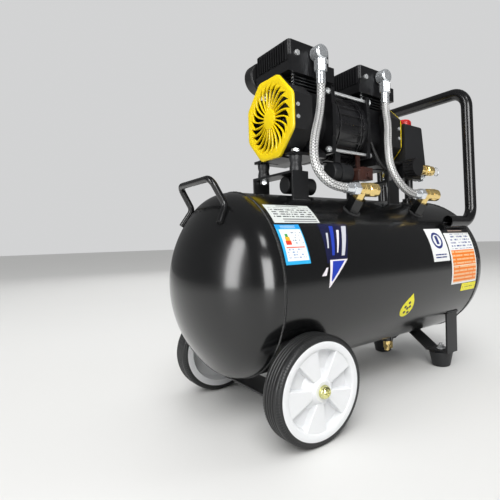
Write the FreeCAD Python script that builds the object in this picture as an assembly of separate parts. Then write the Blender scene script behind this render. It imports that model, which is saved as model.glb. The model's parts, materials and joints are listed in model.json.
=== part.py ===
import FreeCAD, Part
import math
import os

# Horizontal air compressor: a welded tank on two wheels and two rubber feet carries a
# twin-cylinder oil-free pump with one fan cowl at each end.
# Frame: floor at z = 0 under the middle of the tank, +X towards the push handle, +Z up, mm.

V = FreeCAD.Vector
X = V(1, 0, 0)
Y = V(0, 1, 0)
Z = V(0, 0, 1)

# ---- driving dimensions -------------------------------------------------------------
# tank
TANK_R = 150.0
TANK_WALL = 3.0
SHELL_LENGTH = 521.0
DOME_DEPTH = 91.0
KNUCKLE_R = 55.0
TANK_CLEARANCE = 71.5
TANK_Z = TANK_R + TANK_CLEARANCE
WELD_WIDTH = 7.0
WELD_HEIGHT = 2.0

# wheels
TYRE_R = 78.5
TYRE_WIDTH = 38.0
TYRE_SHOULDER = 11.0
TYRE_SIDE = 8.5
RIM_R = TYRE_R - TYRE_SIDE
WHEEL_INSET = 43.9
WHEEL_X = WHEEL_INSET - SHELL_LENGTH / 2
WHEEL_FACE_Y = TANK_R + 20.5
HUB_R = 15.0
BUSH_R = 8.0
AXLE_R = 6.0
RUN_GAP = 0.06
SEAT_GAP = 0.1
PLATE = 4.0
WASHER = 2.0
HUB_END_GAP = 0.4
AXLE_PLATE_Y = TANK_R - 30.0
AXLE_PLATE_WIDTH = 46.0
AXLE_BRACKET_Z = 43.0

# feet
FOOT_INSET = 50.5
FOOT_X = SHELL_LENGTH / 2 - FOOT_INSET
FOOT_Y = 85.0
FOOT_HEIGHT = 33.0
FOOT_TOP_R = 26.0
FOOT_BOTTOM_R = 20.0
LEG_WIDTH = 40.0
LEG_OUTER_Y = 114.0
LEG_INNER_Y = 60.0
LEG_TOP_HALF = 8.0

# handles
HANDLE_TUBE_R = 12.5
HANDLE_WALL = 1.5
HANDLE_Y = 128.0
HANDLE_START_X = SHELL_LENGTH / 2 - 81.5
HANDLE_FOOT_X = SHELL_LENGTH / 2 + 15.5
HANDLE_TOP_X = HANDLE_FOOT_X - 12.0
HANDLE_TOP_Z = 613.0
CARRY_ROD_R = 5.0
CARRY_HALF_WIDTH = 57.0
CARRY_TOP_Z = TANK_Z + 162.5
CARRY_KNEE = 39.5
CARRY_FOOT = 54.5
CARRY_TOP = 60.5

# saddles and rubber mounts
SADDLE_WIDTH = 34.0
SADDLE_Y = 62.0
SADDLE_RISE = 36.5
SADDLE_TOP_Z = TANK_Z + TANK_R + SADDLE_RISE
MOUNT_Y = 50.0
MOUNT_R = 11.0
MOUNT_HEIGHT = 27.0
FOOT_PLATE = 5.0
FOOT_PLATE_TOP_Z = SADDLE_TOP_Z + MOUNT_HEIGHT + FOOT_PLATE
FOOT_RAIL_HALF = 12.0

# pump
PUMP_X = -38.0
SHAFT_RISE = 65.0
SHAFT_Z = FOOT_PLATE_TOP_Z + SHAFT_RISE
SHAFT_R = 7.5
GRILLE_REACH = 142.0
SADDLE_REACH = GRILLE_REACH - 19.0
GRILLE_THICK = 4.0
COWL_INRADIUS = 71.0
COWL_WALL = 2.5
COWL_DEPTH = 37.0
CYLINDER_LEFT = -84.0
CYLINDER_RIGHT = 88.0
BORE_R = 30.0
STROKE = 18.0
SLEEVE_WALL = 4.0
DECK_RISE = 43.0
DECK_Z = SHAFT_Z + DECK_RISE
CYLINDER_HEIGHT = 30.0
HEAD_BASE_Z = DECK_Z + CYLINDER_HEIGHT
VALVE_PLATE = 7.0
HEAD_STEP_Z = HEAD_BASE_Z + 28.0
HEAD_TOP_Z = HEAD_BASE_Z + 54.0
FIN_HALF_X = BORE_R + 6.0
FIN_HALF_Y = BORE_R + 14.0
STUD_X = BORE_R
STUD_Y = BORE_R + 6.0
HEAD_HALF_Y = BORE_R + 20.0
HEAD_BACK = BORE_R + 20.0
HEAD_FRONT = BORE_R + 16.0
HEAD_FLANGE_FRONT = BORE_R + 26.0
BARREL_R = 48.0
CRANK_CAVITY_R = 41.0
MOTOR_R = 66.0
MOTOR_HALF_LENGTH = 42.0
FLANGE_THICK = 8.0
TIE_Y = 58.0
TIE_Z = 52.0
TIE_R = 3.0
BEARING_R = 20.0
BEARING_WIDTH = 12.0
ECCENTRIC_R = 18.0
ECCENTRIC_WIDTH = 10.0
ROD_RING_R = 25.0
ROD_TABLE_R = 20.0
PISTON_THICK = 8.0
PISTON_GAP = 0.05
DEAD_GAP = 1.0
FAN_R = 56.0
FAN_HUB_R = 18.0
FAN_WIDTH = 11.0
FAN_BLADES = 9

# delivery line
PORT_ANGLE = 52.0
BUNG_AF = 26.0
BUNG_TOP_R = TANK_R + 28.0
CHECK_AXIS_R = TANK_R + 45.0
CHECK_X = (-72.0, 115.0)
HOSE_R = 7.5
FERRULE_R = 8.6
HOSE_NUT_AF = 20.0
ELBOW_R = 13.5
ELBOW_Y = HEAD_HALF_Y + 16.0
ELBOW_Z = HEAD_BASE_Z + 38.0
ELBOW_OFFSET = 9.0
HOSE_TOP_Z = ELBOW_Z - 46.0
HOSE_LEFT_BENDS = [(-122, -70, 505), (-158, -96, 454), (-167, -105, 415), (-157, -113, 390)]
HOSE_RIGHT_BENDS = [(48, -81, 511), (15, -106, 467), (8, -116, 420), (28, -124, 388)]
HOSE_RUNS = {-1: (24.0, 28.4), 1: (22.0, 19.4)}
HOSE_END_BACK = 32.6

# switch, manifold and drain
SWITCH_START = PUMP_X + GRILLE_REACH + 4.0
BLOCK_X = (SWITCH_START - 3.5, SWITCH_START + 56.0)
BLOCK_Y = (-74.0, -36.0)
BLOCK_Z = (SADDLE_TOP_Z + 6.0, SADDLE_TOP_Z + 33.0)
SWITCH_X = (SWITCH_START, SWITCH_START + 70.0)
SWITCH_Y = (-76.0, -20.0)
SWITCH_Z = (BLOCK_Z[1], BLOCK_Z[1] + 89.0)
SWITCH_BASE = 9.0
COVER_WALL = 2.5
RISER_X = SWITCH_START + 38.0
RISER_Y = -54.0
RISER_R = 9.0
KNOB_R = 19.0
KNOB_X = SWITCH_START + 2.0
KNOB_TRAVEL_GAP = 0.5
VALVE_Y = -86.2
PORT_Z = BLOCK_Z[0] + 19.0
COUPLER_Y = -50.0
SLEEVE_R = 12.5
GAUGE_R = 20.0
DRAIN_X = 124.0
SECOND_CAN_R = 15.5
DRAIN_DROP = 15.0
LEAD_R = 3.0
LEAD = [(20, -51, 497), (23, -66, 458), (34, -75, 430), (60, -70, 426), (82, -64, 445.6),
        (100, -64, 445.6)]


# ---- geometry helpers ---------------------------------------------------------------
def box(x0, x1, y0, y1, z0, z1):
    """Block between two corners."""
    return Part.makeBox(x1 - x0, y1 - y0, z1 - z0, V(x0, y0, z0))


def span_box(x0, width, y_a, y_b, z0, z1):
    """Block of a given width in X, between two Y values in either order."""
    return box(x0, x0 + width, min(y_a, y_b), max(y_a, y_b), z0, z1)


def rod(base, axis, radius, length):
    """Solid cylinder."""
    return Part.makeCylinder(radius, length, V(*base), axis)


def ring(base, axis, outer, inner, length):
    """Tube with square ends."""
    return rod(base, axis, outer, length).cut(rod(base, axis, inner, length))


def prism(points, sweep):
    """Polygon in space swept by a vector."""
    corners = [V(*point) for point in points]
    return Part.Face(Part.makePolygon(corners + corners[:1])).extrude(sweep)


def regular(base, axis, across_flats, length, sides=6):
    """Regular prism, given across its flats."""
    radius = across_flats / 2.0 / math.cos(math.pi / sides)
    corners = []
    for index in range(sides):
        angle = 2 * math.pi * (index + 0.5) / sides
        corners.append(V(radius * math.cos(angle), radius * math.sin(angle), 0))
    shape = Part.Face(Part.makePolygon(corners + corners[:1])).extrude(V(0, 0, length))
    shape.Placement = FreeCAD.Placement(V(*base), FreeCAD.Rotation(Z, axis))
    return shape


def turned(profile, base, axis):
    """Body of revolution: profile of (distance along the axis, radius) points."""
    corners = [V(radius, 0, along) for along, radius in profile]
    face = Part.Face(Part.makePolygon(corners + corners[:1]))
    shape = face.revolve(V(0, 0, 0), Z, 360)
    shape.Placement = FreeCAD.Placement(V(*base), FreeCAD.Rotation(Z, axis))
    return shape


def fuse(shapes):
    """One solid out of several."""
    return shapes[0].multiFuse(shapes[1:]).removeSplitter()


def mirrored_y(shape):
    """Copy on the other side of the middle plane."""
    return shape.mirror(V(0, 0, 0), Y)


def rounded_path(points, radius=None):
    """Straight runs joined by tangent arcs; without a radius each bend takes 0.45 of its shorter run."""
    corners = [V(*point) for point in points]
    edges = []
    radii = []
    start = corners[0]
    for before, corner, after in zip(corners, corners[1:], corners[2:]):
        inward = (before - corner).normalize()
        outward = (after - corner).normalize()
        half_turn = (math.pi - inward.getAngle(outward)) / 2
        reach = 0.45 * min((before - corner).Length, (after - corner).Length)
        if radius is not None:
            reach = radius * math.tan(half_turn)
        bend = reach / math.tan(half_turn)
        radii.append(round(bend, 1))
        first = corner + inward * reach
        last = corner + outward * reach
        to_centre = (inward + outward).normalize()
        middle = corner + to_centre * (math.hypot(bend, reach) - bend)
        edges.append(Part.makeLine(start, first))
        edges.append(Part.Arc(first, middle, last).toShape())
        start = last
    edges.append(Part.makeLine(start, corners[-1]))
    return Part.Wire(edges), radii


def piped(wire, radius):
    """Round bar swept along a wire."""
    edge = wire.OrderedEdges[0]
    start = edge.valueAt(edge.FirstParameter)
    direction = edge.tangentAt(edge.FirstParameter)
    circle = Part.Wire(Part.makeCircle(radius, start, direction))
    shell = Part.BRepOffsetAPI.MakePipeShell(wire)
    shell.add(circle)
    shell.setTransitionMode(2)
    shell.build()
    shell.makeSolid()
    return shell.shape()


def cord(points, radius, name):
    """Free hose or lead, with its length, bends and volume ratio printed."""
    wire, radii = rounded_path(points)
    shape = piped(wire, radius)
    ratio = shape.Volume / (math.pi * radius * radius * wire.Length)
    print(name, "length", round(wire.Length, 1), "bends", radii, "volume ratio", round(ratio, 4))
    return shape


def tank_top(y, offset=0.0):
    """Height of the tank's upper surface above the middle plane offset y."""
    return TANK_Z + math.sqrt((TANK_R + offset) ** 2 - y * y)


def tank_bottom(y):
    """Height of the tank's lower surface."""
    return TANK_Z - math.sqrt(TANK_R ** 2 - y * y)


def tank_body(radius=TANK_R):
    """Solid round bar as wide as the tank, for trimming what is welded to it."""
    return rod((-SHELL_LENGTH / 2, 0, TANK_Z), X, radius, SHELL_LENGTH)


def radial(distance):
    """Offset from the tank axis along the delivery port direction."""
    angle = math.radians(PORT_ANGLE)
    return V(0, -distance * math.cos(angle), TANK_Z + distance * math.sin(angle))


PORT_AXIS = V(0, -math.cos(math.radians(PORT_ANGLE)), math.sin(math.radians(PORT_ANGLE)))
SIDES = ((-1, "left"), (1, "right"))
SIDE_CYLINDER = {-1: PUMP_X + CYLINDER_LEFT, 1: PUMP_X + CYLINDER_RIGHT}


# ---- tank ---------------------------------------------------------------------------
def tank_shell():
    """Rolled cylinder with its four port holes."""
    half = SHELL_LENGTH / 2
    shell = ring((-half, 0, TANK_Z), X, TANK_R, TANK_R - TANK_WALL, SHELL_LENGTH)
    for x in CHECK_X:
        shell = shell.cut(rod((x, 0, TANK_Z), PORT_AXIS, 8, TANK_R + 5))
    shell = shell.cut(rod((RISER_X, RISER_Y, TANK_Z), Z, RISER_R + SEAT_GAP, TANK_R + 5))
    return shell.cut(rod((DRAIN_X, 0, TANK_Z), -Z, 6, TANK_R + 5))


def crown_radius():
    """Crown radius that gives the dome its depth with the chosen knuckle."""
    level = TANK_R - KNUCKLE_R
    top = DOME_DEPTH ** 2 - KNUCKLE_R ** 2 + level ** 2
    return top / (2 * (DOME_DEPTH - KNUCKLE_R))


def dome_edges(inset):
    """Knuckle and crown arcs of the +X dome, moved inwards by inset."""
    start = SHELL_LENGTH / 2
    crown = crown_radius()
    centre = start + DOME_DEPTH - crown
    level = TANK_R - KNUCKLE_R
    split = math.atan2(level, start - centre)
    knuckle = KNUCKLE_R - inset
    crown = crown - inset
    half = (split + math.pi / 2) / 2

    def on_knuckle(angle):
        return V(start + knuckle * math.cos(angle), 0, level + knuckle * math.sin(angle))

    def on_crown(angle):
        return V(centre + crown * math.cos(angle), 0, crown * math.sin(angle))
    first = Part.Arc(on_knuckle(math.pi / 2), on_knuckle(half), on_knuckle(split)).toShape()
    second = Part.Arc(on_crown(split), on_crown(split / 2), on_crown(0)).toShape()
    return [first, second]


def dome_solid(inset=0.0):
    """Filled +X dome, moved inwards by inset."""
    start = SHELL_LENGTH / 2
    tip = V(start + DOME_DEPTH - inset, 0, 0)
    edges = dome_edges(inset)
    edges.append(Part.makeLine(tip, V(start, 0, 0)))
    edges.append(Part.makeLine(V(start, 0, 0), V(start, 0, TANK_R - inset)))
    solid = Part.Face(Part.Wire(edges)).revolve(V(0, 0, 0), X, 360)
    solid.translate(V(0, 0, TANK_Z))
    return solid


def tank_dome():
    """Pressed torispherical end of the +X side."""
    return dome_solid().cut(dome_solid(TANK_WALL))


def dome_radius(x):
    """Radius of the dome's outside at a distance x from the middle of the tank."""
    start = SHELL_LENGTH / 2
    crown = crown_radius()
    centre = start + DOME_DEPTH - crown
    level = TANK_R - KNUCKLE_R
    along = abs(x) - start
    if along > KNUCKLE_R * (start - centre) / math.hypot(level, start - centre):
        return math.sqrt(crown ** 2 - (abs(x) - centre) ** 2)
    return level + math.sqrt(KNUCKLE_R ** 2 - along ** 2)


def seam_weld(x):
    """Bead laid over the joint of shell and dome."""
    half = WELD_WIDTH / 2
    arc = Part.Arc(V(x - half, 0, TANK_R), V(x, 0, TANK_R + WELD_HEIGHT), V(x + half, 0, TANK_R))
    base = Part.makeLine(V(x + half, 0, TANK_R), V(x - half, 0, TANK_R))
    bead = Part.Face(Part.Wire([arc.toShape(), base])).revolve(V(0, 0, 0), X, 360)
    bead.translate(V(0, 0, TANK_Z))
    return bead


def tank_bungs():
    """Two hexagon delivery bungs, the riser boss and the drain boss."""
    bungs = []
    for x in CHECK_X:
        foot = V(x, 0, 0) + radial(TANK_R - 12)
        bung = regular(foot, PORT_AXIS, BUNG_AF, BUNG_TOP_R - TANK_R + 12)
        bore = rod(foot, PORT_AXIS, 7, 60)
        bungs.append(bung.cut(tank_body()).cut(bore))
    rise = tank_top(RISER_Y) - TANK_Z - 88
    boss = ring((RISER_X, RISER_Y, TANK_Z + 100), Z, 14, RISER_R + SEAT_GAP, rise)
    bungs.append(boss.cut(tank_body()))
    drain = ring((DRAIN_X, 0, TANK_Z - TANK_R - DRAIN_DROP), Z, 12, 6, DRAIN_DROP + 20)
    bungs.append(drain.cut(tank_body()))
    return bungs


def carry_handle():
    """Bent rod welded to the wheel-end dome; its two ends lie along the dome."""
    end = -SHELL_LENGTH / 2
    knee_x = end - CARRY_KNEE
    foot_x = end - CARRY_FOOT
    knee_y = CARRY_HALF_WIDTH + 2
    foot_y = CARRY_HALF_WIDTH + 12
    seat = CARRY_ROD_R - 0.8
    knee_z = TANK_Z + math.sqrt(dome_radius(knee_x) ** 2 - knee_y ** 2) + seat * 1.1
    foot_z = TANK_Z + math.sqrt(dome_radius(foot_x) ** 2 - foot_y ** 2) + seat * 1.3
    side = [(foot_x, -foot_y, foot_z), (knee_x, -knee_y, knee_z),
            (end - CARRY_TOP, -CARRY_HALF_WIDTH, CARRY_TOP_Z)]
    other = [(x, -y, z) for x, y, z in reversed(side)]
    wire, _ = rounded_path(side + other, 7.0)
    bar = piped(wire, CARRY_ROD_R)
    return bar.cut(dome_solid().mirror(V(0, 0, 0), X))


def push_handle():
    """Bent tube lying on both shoulders of the tank and rising over its end."""
    low_z = TANK_Z + math.sqrt((TANK_R + HANDLE_TUBE_R - 0.3) ** 2 - HANDLE_Y ** 2)
    near = [(HANDLE_START_X, -HANDLE_Y, low_z), (HANDLE_FOOT_X, -HANDLE_Y, low_z),
            (HANDLE_TOP_X, -HANDLE_Y, HANDLE_TOP_Z)]
    far = [(x, -y, z) for x, y, z in reversed(near)]
    wire, _ = rounded_path(near + far, 34.0)
    outer = piped(wire, HANDLE_TUBE_R)
    inner = piped(wire, HANDLE_TUBE_R - HANDLE_WALL)
    return outer.cut(inner).cut(tank_body())


# ---- wheels -------------------------------------------------------------------------
def wheel_tyre():
    """Rubber tyre with four tread grooves, centred on the origin, outer face towards -Y."""
    half = TYRE_WIDTH / 2
    shoulder = TYRE_SHOULDER
    tyre = ring((0, -half, 0), Y, TYRE_R, RIM_R - 4 + SEAT_GAP, TYRE_WIDTH)
    edges = [edge for edge in tyre.Edges if abs(edge.BoundBox.ZLength - 2 * TYRE_R) < 0.1
             and abs(abs(edge.BoundBox.Center.y) - half) < 0.1]
    tyre = tyre.makeFillet(shoulder, edges)
    for side in (-1, 1):
        start = side * half - (3 if side > 0 else 0)
        tyre = tyre.cut(rod((0, start, 0), Y, RIM_R + SEAT_GAP, 3))
    for index in range(4):
        y = (index - 1.5) * 6.0
        groove = ring((0, y - 1.1, 0), Y, TYRE_R + 1, TYRE_R - 2.2, 2.2)
        tyre = tyre.cut(groove)
    return tyre


def wheel_rim():
    """Moulded rim: barrel, two flanges, dished web with five raised panels, long hub."""
    half = TYRE_WIDTH / 2
    inner = WHEEL_FACE_Y - half - (AXLE_PLATE_Y + PLATE + WASHER) - HUB_END_GAP
    lip = RIM_R - 8
    profile = [(-half, RIM_R), (-half, lip), (-half + 3, lip - 2), (-half + 5, 24), (-half + 1, HUB_R + 1),
               (-half - 1, HUB_R - 1), (-half - 1, BUSH_R + RUN_GAP), (inner, BUSH_R + RUN_GAP),
               (inner, HUB_R - 2), (inner - 2, HUB_R), (-half + 11, HUB_R), (-half + 9, 24),
               (-half + 8, lip - 4), (half - 2, lip - 1), (half, lip - 1), (half, RIM_R), (half - 3, RIM_R),
               (half - 3, RIM_R - 4), (-half + 3, RIM_R - 4), (-half + 3, RIM_R)]
    rim = turned(profile, (0, 0, 0), Y)
    panels = []
    for index in range(5):
        middle = math.radians(90 + 72 * index)
        corners = []
        edge = lip - 4.5
        for radius, spread in ((20, 13), (edge, 21), (edge, 0), (edge, -21), (20, -13)):
            angle = middle + math.radians(spread)
            reach = edge + 2 if spread == 0 else radius
            corners.append((reach * math.cos(angle), -half + 1.2, reach * math.sin(angle)))
        panels.append(prism(corners, V(0, 5.5, 0)))
    return fuse([rim] + panels)


def at_wheel(shape, side):
    """Place a wheel piece on the near (-1) or far (+1) axle; the far one is turned about."""
    copy = shape.copy()
    if side > 0:
        copy.rotate(V(0, 0, 0), Z, 180)
    copy.translate(V(WHEEL_X, side * (WHEEL_FACE_Y - TYRE_WIDTH / 2), TYRE_R))
    return copy


def axle_bracket():
    """U-shaped strap welded under the tank, with the two axle holes."""
    outer = AXLE_PLATE_Y + PLATE
    low = AXLE_BRACKET_Z
    half = AXLE_PLATE_WIDTH / 2
    top = TANK_Z - TANK_R / 2 + 3.5
    plates = [box(WHEEL_X - half, WHEEL_X + half, -outer, -AXLE_PLATE_Y, low, top),
              box(WHEEL_X - half, WHEEL_X + half, AXLE_PLATE_Y, outer, low, top),
              box(WHEEL_X - half, WHEEL_X + half, -outer, outer, low, low + PLATE)]
    bracket = fuse(plates).cut(tank_body())
    return bracket.cut(rod((WHEEL_X, -outer - 1, TYRE_R), Y, AXLE_R + 0.05, 2 * outer + 2))


def axle_bolts():
    """Dome-headed bolt, its hexagon nut and two washers on the near axle."""
    outer = AXLE_PLATE_Y + PLATE
    head_y = -(WHEEL_FACE_Y + 3.5)
    shank = rod((WHEEL_X, head_y, TYRE_R), Y, AXLE_R, -head_y - 98)
    cap = [(0, 0), (0, 13.5), (-2.5, 13.2), (-5, 11), (-7, 7), (-7.8, 0)]
    dome = turned(cap, (WHEEL_X, head_y, TYRE_R), Y)
    slot = box(WHEEL_X - 8, WHEEL_X + 8, head_y - 9, head_y - 6, TYRE_R - 1.3, TYRE_R + 1.3)
    cross = box(WHEEL_X - 1.3, WHEEL_X + 1.3, head_y - 9, head_y - 6, TYRE_R - 8, TYRE_R + 8)
    bolt = fuse([shank, dome]).cut(slot).cut(cross)
    nut_y = -AXLE_PLATE_Y
    nut = regular((WHEEL_X, nut_y, TYRE_R), Y, 19, 10)
    nut = nut.cut(rod((WHEEL_X, nut_y, TYRE_R), Y, AXLE_R, 10))
    inner_washer = ring((WHEEL_X, -outer - WASHER, TYRE_R), Y, 14, AXLE_R, WASHER)
    outer_washer = ring((WHEEL_X, head_y, TYRE_R), Y, 14, AXLE_R, WASHER)
    return [bolt, nut, inner_washer, outer_washer]


def axle_bush():
    """Steel bush clamped between the two washers; the hub turns on it."""
    start = -(WHEEL_FACE_Y + 1.5)
    length = -start - (AXLE_PLATE_Y + PLATE + WASHER)
    return ring((WHEEL_X, start, TYRE_R), Y, BUSH_R, AXLE_R, length)


# ---- feet ---------------------------------------------------------------------------
def foot_bracket():
    """One strap across the tank's underside, bent down to a flat over each foot."""
    z0 = FOOT_HEIGHT
    start = FOOT_X - LEG_WIDTH / 2
    top = TANK_Z - TANK_R
    rise = top - PLATE - z0
    lift = PLATE * math.hypot(LEG_INNER_Y - LEG_TOP_HALF, rise) / (LEG_INNER_Y - LEG_TOP_HALF)
    pieces = [box(start, start + LEG_WIDTH, -LEG_TOP_HALF, LEG_TOP_HALF, top - PLATE, top)]
    for side in (-1, 1):
        outer = side * LEG_OUTER_Y
        wall = side * (LEG_OUTER_Y - PLATE)
        inner = side * (LEG_INNER_Y - 3)
        high = tank_bottom(LEG_OUTER_Y) + 12
        pieces.append(span_box(start, LEG_WIDTH, outer, wall, z0, high))
        pieces.append(span_box(start, LEG_WIDTH, outer, inner, z0, z0 + PLATE))
        slope = [(LEG_INNER_Y, z0), (LEG_TOP_HALF, z0 + rise), (LEG_TOP_HALF, z0 + rise + PLATE),
                 (LEG_INNER_Y, z0 + lift)]
        pieces.append(prism([(start, side * y, z) for y, z in slope], V(LEG_WIDTH, 0, 0)))
    bracket = fuse(pieces).cut(tank_body(TANK_R))
    for y in (-FOOT_Y, FOOT_Y):
        bracket = bracket.cut(rod((FOOT_X, y, z0 - 1), Z, 4.05, PLATE + 2))
    return bracket


def rubber_foot():
    """Tapered rubber foot, moulded with a counterbore for its bolt."""
    profile = [(0, 9), (0, FOOT_BOTTOM_R - 1.5), (1.5, FOOT_BOTTOM_R), (FOOT_HEIGHT - 3, FOOT_TOP_R),
               (FOOT_HEIGHT, FOOT_TOP_R), (FOOT_HEIGHT, 4.05), (12, 4.05), (12, 9)]
    return turned(profile, (FOOT_X, -FOOT_Y, 0), Z)


def foot_bolt():
    """Bolt through the rubber foot with washer and nut above the leg."""
    top = FOOT_HEIGHT + PLATE
    shank = rod((FOOT_X, -FOOT_Y, 7), Z, 4, top + 12 - 7)
    head = regular((FOOT_X, -FOOT_Y, 6.5), Z, 13, 5.5)
    washer = ring((FOOT_X, -FOOT_Y, top), Z, 10, 4, 1.6)
    nut = regular((FOOT_X, -FOOT_Y, top + 1.6), Z, 13, 6.5).cut(rod((FOOT_X, -FOOT_Y, top), Z, 4, 20))
    return [fuse([shank, head]), washer, nut]


# ---- pump bed -----------------------------------------------------------------------
def saddle(x):
    """Inverted U of strap welded across the top of the tank."""
    start = x - SADDLE_WIDTH / 2
    end = x + SADDLE_WIDTH / 2
    top = box(start, end, -SADDLE_Y, SADDLE_Y, SADDLE_TOP_Z - PLATE, SADDLE_TOP_Z)
    low = TANK_Z + TANK_R / 2
    legs = [box(start, end, -SADDLE_Y, -SADDLE_Y + PLATE, low, SADDLE_TOP_Z),
            box(start, end, SADDLE_Y - PLATE, SADDLE_Y, low, SADDLE_TOP_Z)]
    shape = fuse([top] + legs).cut(tank_body())
    for y in (-MOUNT_Y, MOUNT_Y):
        shape = shape.cut(rod((x, y, SADDLE_TOP_Z - 6), Z, 4.05, 10))
    return shape


def mount_places():
    """Middle of each of the four rubber mounts."""
    return [(PUMP_X + side * SADDLE_REACH, y) for side, _ in SIDES for y in (-MOUNT_Y, MOUNT_Y)]


def rubber_mount(x, y):
    """Waisted rubber buffer between saddle and pump foot."""
    height = FOOT_PLATE_TOP_Z - FOOT_PLATE - SADDLE_TOP_Z
    profile = [(0, 4), (0, MOUNT_R), (height * 0.25, MOUNT_R), (height * 0.5, MOUNT_R - 1.5),
               (height * 0.75, MOUNT_R), (height, MOUNT_R), (height, 4)]
    return turned(profile, (x, y, SADDLE_TOP_Z), Z)


def mount_stud(x, y):
    """Stud through a mount with a washer and nut at both ends."""
    low = SADDLE_TOP_Z - PLATE
    high = FOOT_PLATE_TOP_Z
    stud = rod((x, y, low - 8), Z, 4, high + 15.5 - low)
    bore = rod((x, y, low - 8), Z, 4, 60)
    lower = regular((x, y, low - 6.5), Z, 13, 6.5).cut(bore)
    upper = regular((x, y, high), Z, 13, 6).cut(bore)
    return [stud, lower, upper]


# ---- pump ---------------------------------------------------------------------------
def crankcase(side):
    """Casting with the crank chamber, bearing wall, motor flange, deck and foot."""
    inner = PUMP_X + side * MOTOR_HALF_LENGTH
    outer = PUMP_X + side * (GRILLE_REACH - 30)
    cylinder_x = SIDE_CYLINDER[side]
    x0 = min(inner, outer)
    x1 = max(inner, outer)
    wall = BEARING_WIDTH + 1.0
    barrel = rod((x0, 0, SHAFT_Z), X, BARREL_R, x1 - x0)
    half = COWL_INRADIUS - 4
    flange_x = min(inner, inner + side * FLANGE_THICK)
    flange = regular((flange_x, 0, SHAFT_Z), X, 2 * half, FLANGE_THICK, 8)
    lug_bar = span_box(flange_x, FLANGE_THICK, -TIE_Y - 7, TIE_Y + 7, SHAFT_Z - TIE_Z - 7,
                       SHAFT_Z + TIE_Z + 7)
    lugs = [lug_bar.cut(span_box(flange_x, FLANGE_THICK, -20, 20, SHAFT_Z - 90, SHAFT_Z + 90))]
    deck = span_box(cylinder_x - FIN_HALF_X, 2 * FIN_HALF_X, -FIN_HALF_Y, FIN_HALF_Y, SHAFT_Z + 20, DECK_Z)
    mount_x = PUMP_X + side * SADDLE_REACH
    foot_in = cylinder_x - side * 20
    foot_out = mount_x + side * 13
    low = FOOT_PLATE_TOP_Z - FOOT_PLATE
    rails = []
    for y in (-MOUNT_Y, MOUNT_Y):
        rails.append(span_box(min(foot_in, foot_out), abs(foot_out - foot_in), y - FOOT_RAIL_HALF,
                              y + FOOT_RAIL_HALF, low, FOOT_PLATE_TOP_Z))
    pedestal_out = PUMP_X + side * (GRILLE_REACH - GRILLE_THICK - COWL_DEPTH - 2)
    start = min(foot_in, pedestal_out)
    wide = MOUNT_Y + FOOT_RAIL_HALF
    outline = [(-wide, low), (wide, low), (wide, low + 7), (34, low + 31), (-34, low + 31), (-wide, low + 7)]
    pedestal = prism([(start, y, z) for y, z in outline], V(abs(foot_in - pedestal_out), 0, 0))
    case = fuse([barrel, flange] + lugs + [deck, pedestal] + rails)
    chamber_start = inner + side * wall
    c0 = min(chamber_start, outer + side * 2)
    c1 = max(chamber_start, outer + side * 2)
    case = case.cut(rod((c0, 0, SHAFT_Z), X, CRANK_CAVITY_R, c1 - c0))
    case = case.cut(rod((x0 - 5, 0, SHAFT_Z), X, BEARING_R + SEAT_GAP / 2, x1 - x0 + 10))
    case = case.cut(rod((cylinder_x, 0, SHAFT_Z), Z, BORE_R + 1, 60))
    clear_x = FIN_HALF_X + 0.3
    clear_y = FIN_HALF_Y + 0.3
    case = case.cut(box(cylinder_x - clear_x, cylinder_x + clear_x, -clear_y, clear_y, DECK_Z, DECK_Z + 60))
    for y in (-MOUNT_Y, MOUNT_Y):
        case = case.cut(rod((mount_x, y, low - 5), Z, 4.05, 20))
    for y in (-TIE_Y, TIE_Y):
        for z in (-TIE_Z, TIE_Z):
            case = case.cut(rod((x0 - 5, y, SHAFT_Z + z), X, TIE_R + 0.1, x1 - x0 + 10))
    return case


def fan_cowl(side):
    """Octagonal cowl round the fan, cut away round the cylinder deck."""
    front = PUMP_X + side * (GRILLE_REACH - GRILLE_THICK)
    back = front - side * COWL_DEPTH
    start = min(front, back)
    outer = regular((start, 0, SHAFT_Z), X, 2 * COWL_INRADIUS, COWL_DEPTH, 8)
    hollow_start = start if side > 0 else start - 1
    if side > 0:
        hollow_start = start + COWL_WALL
    width = 2 * (COWL_INRADIUS - COWL_WALL)
    hollow = regular((hollow_start, 0, SHAFT_Z), X, width, COWL_DEPTH - COWL_WALL + 1, 8)
    cowl = outer.cut(hollow)
    cowl = cowl.cut(rod((start - 5, 0, SHAFT_Z), X, BARREL_R + 0.4, COWL_DEPTH + 10))
    edge = front - side * 5.5
    deck_start = min(edge, edge - side * 60)
    clear = box(deck_start, deck_start + 60, -HEAD_HALF_Y, HEAD_HALF_Y, DECK_Z - 6, 700)
    back_start = min(back + side * (COWL_WALL + 1), back - side)
    slot = box(back_start, back_start + COWL_WALL + 2, -FIN_HALF_Y - 1, FIN_HALF_Y + 1, SHAFT_Z + 18, DECK_Z)
    return cowl.cut(clear).cut(slot)


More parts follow.
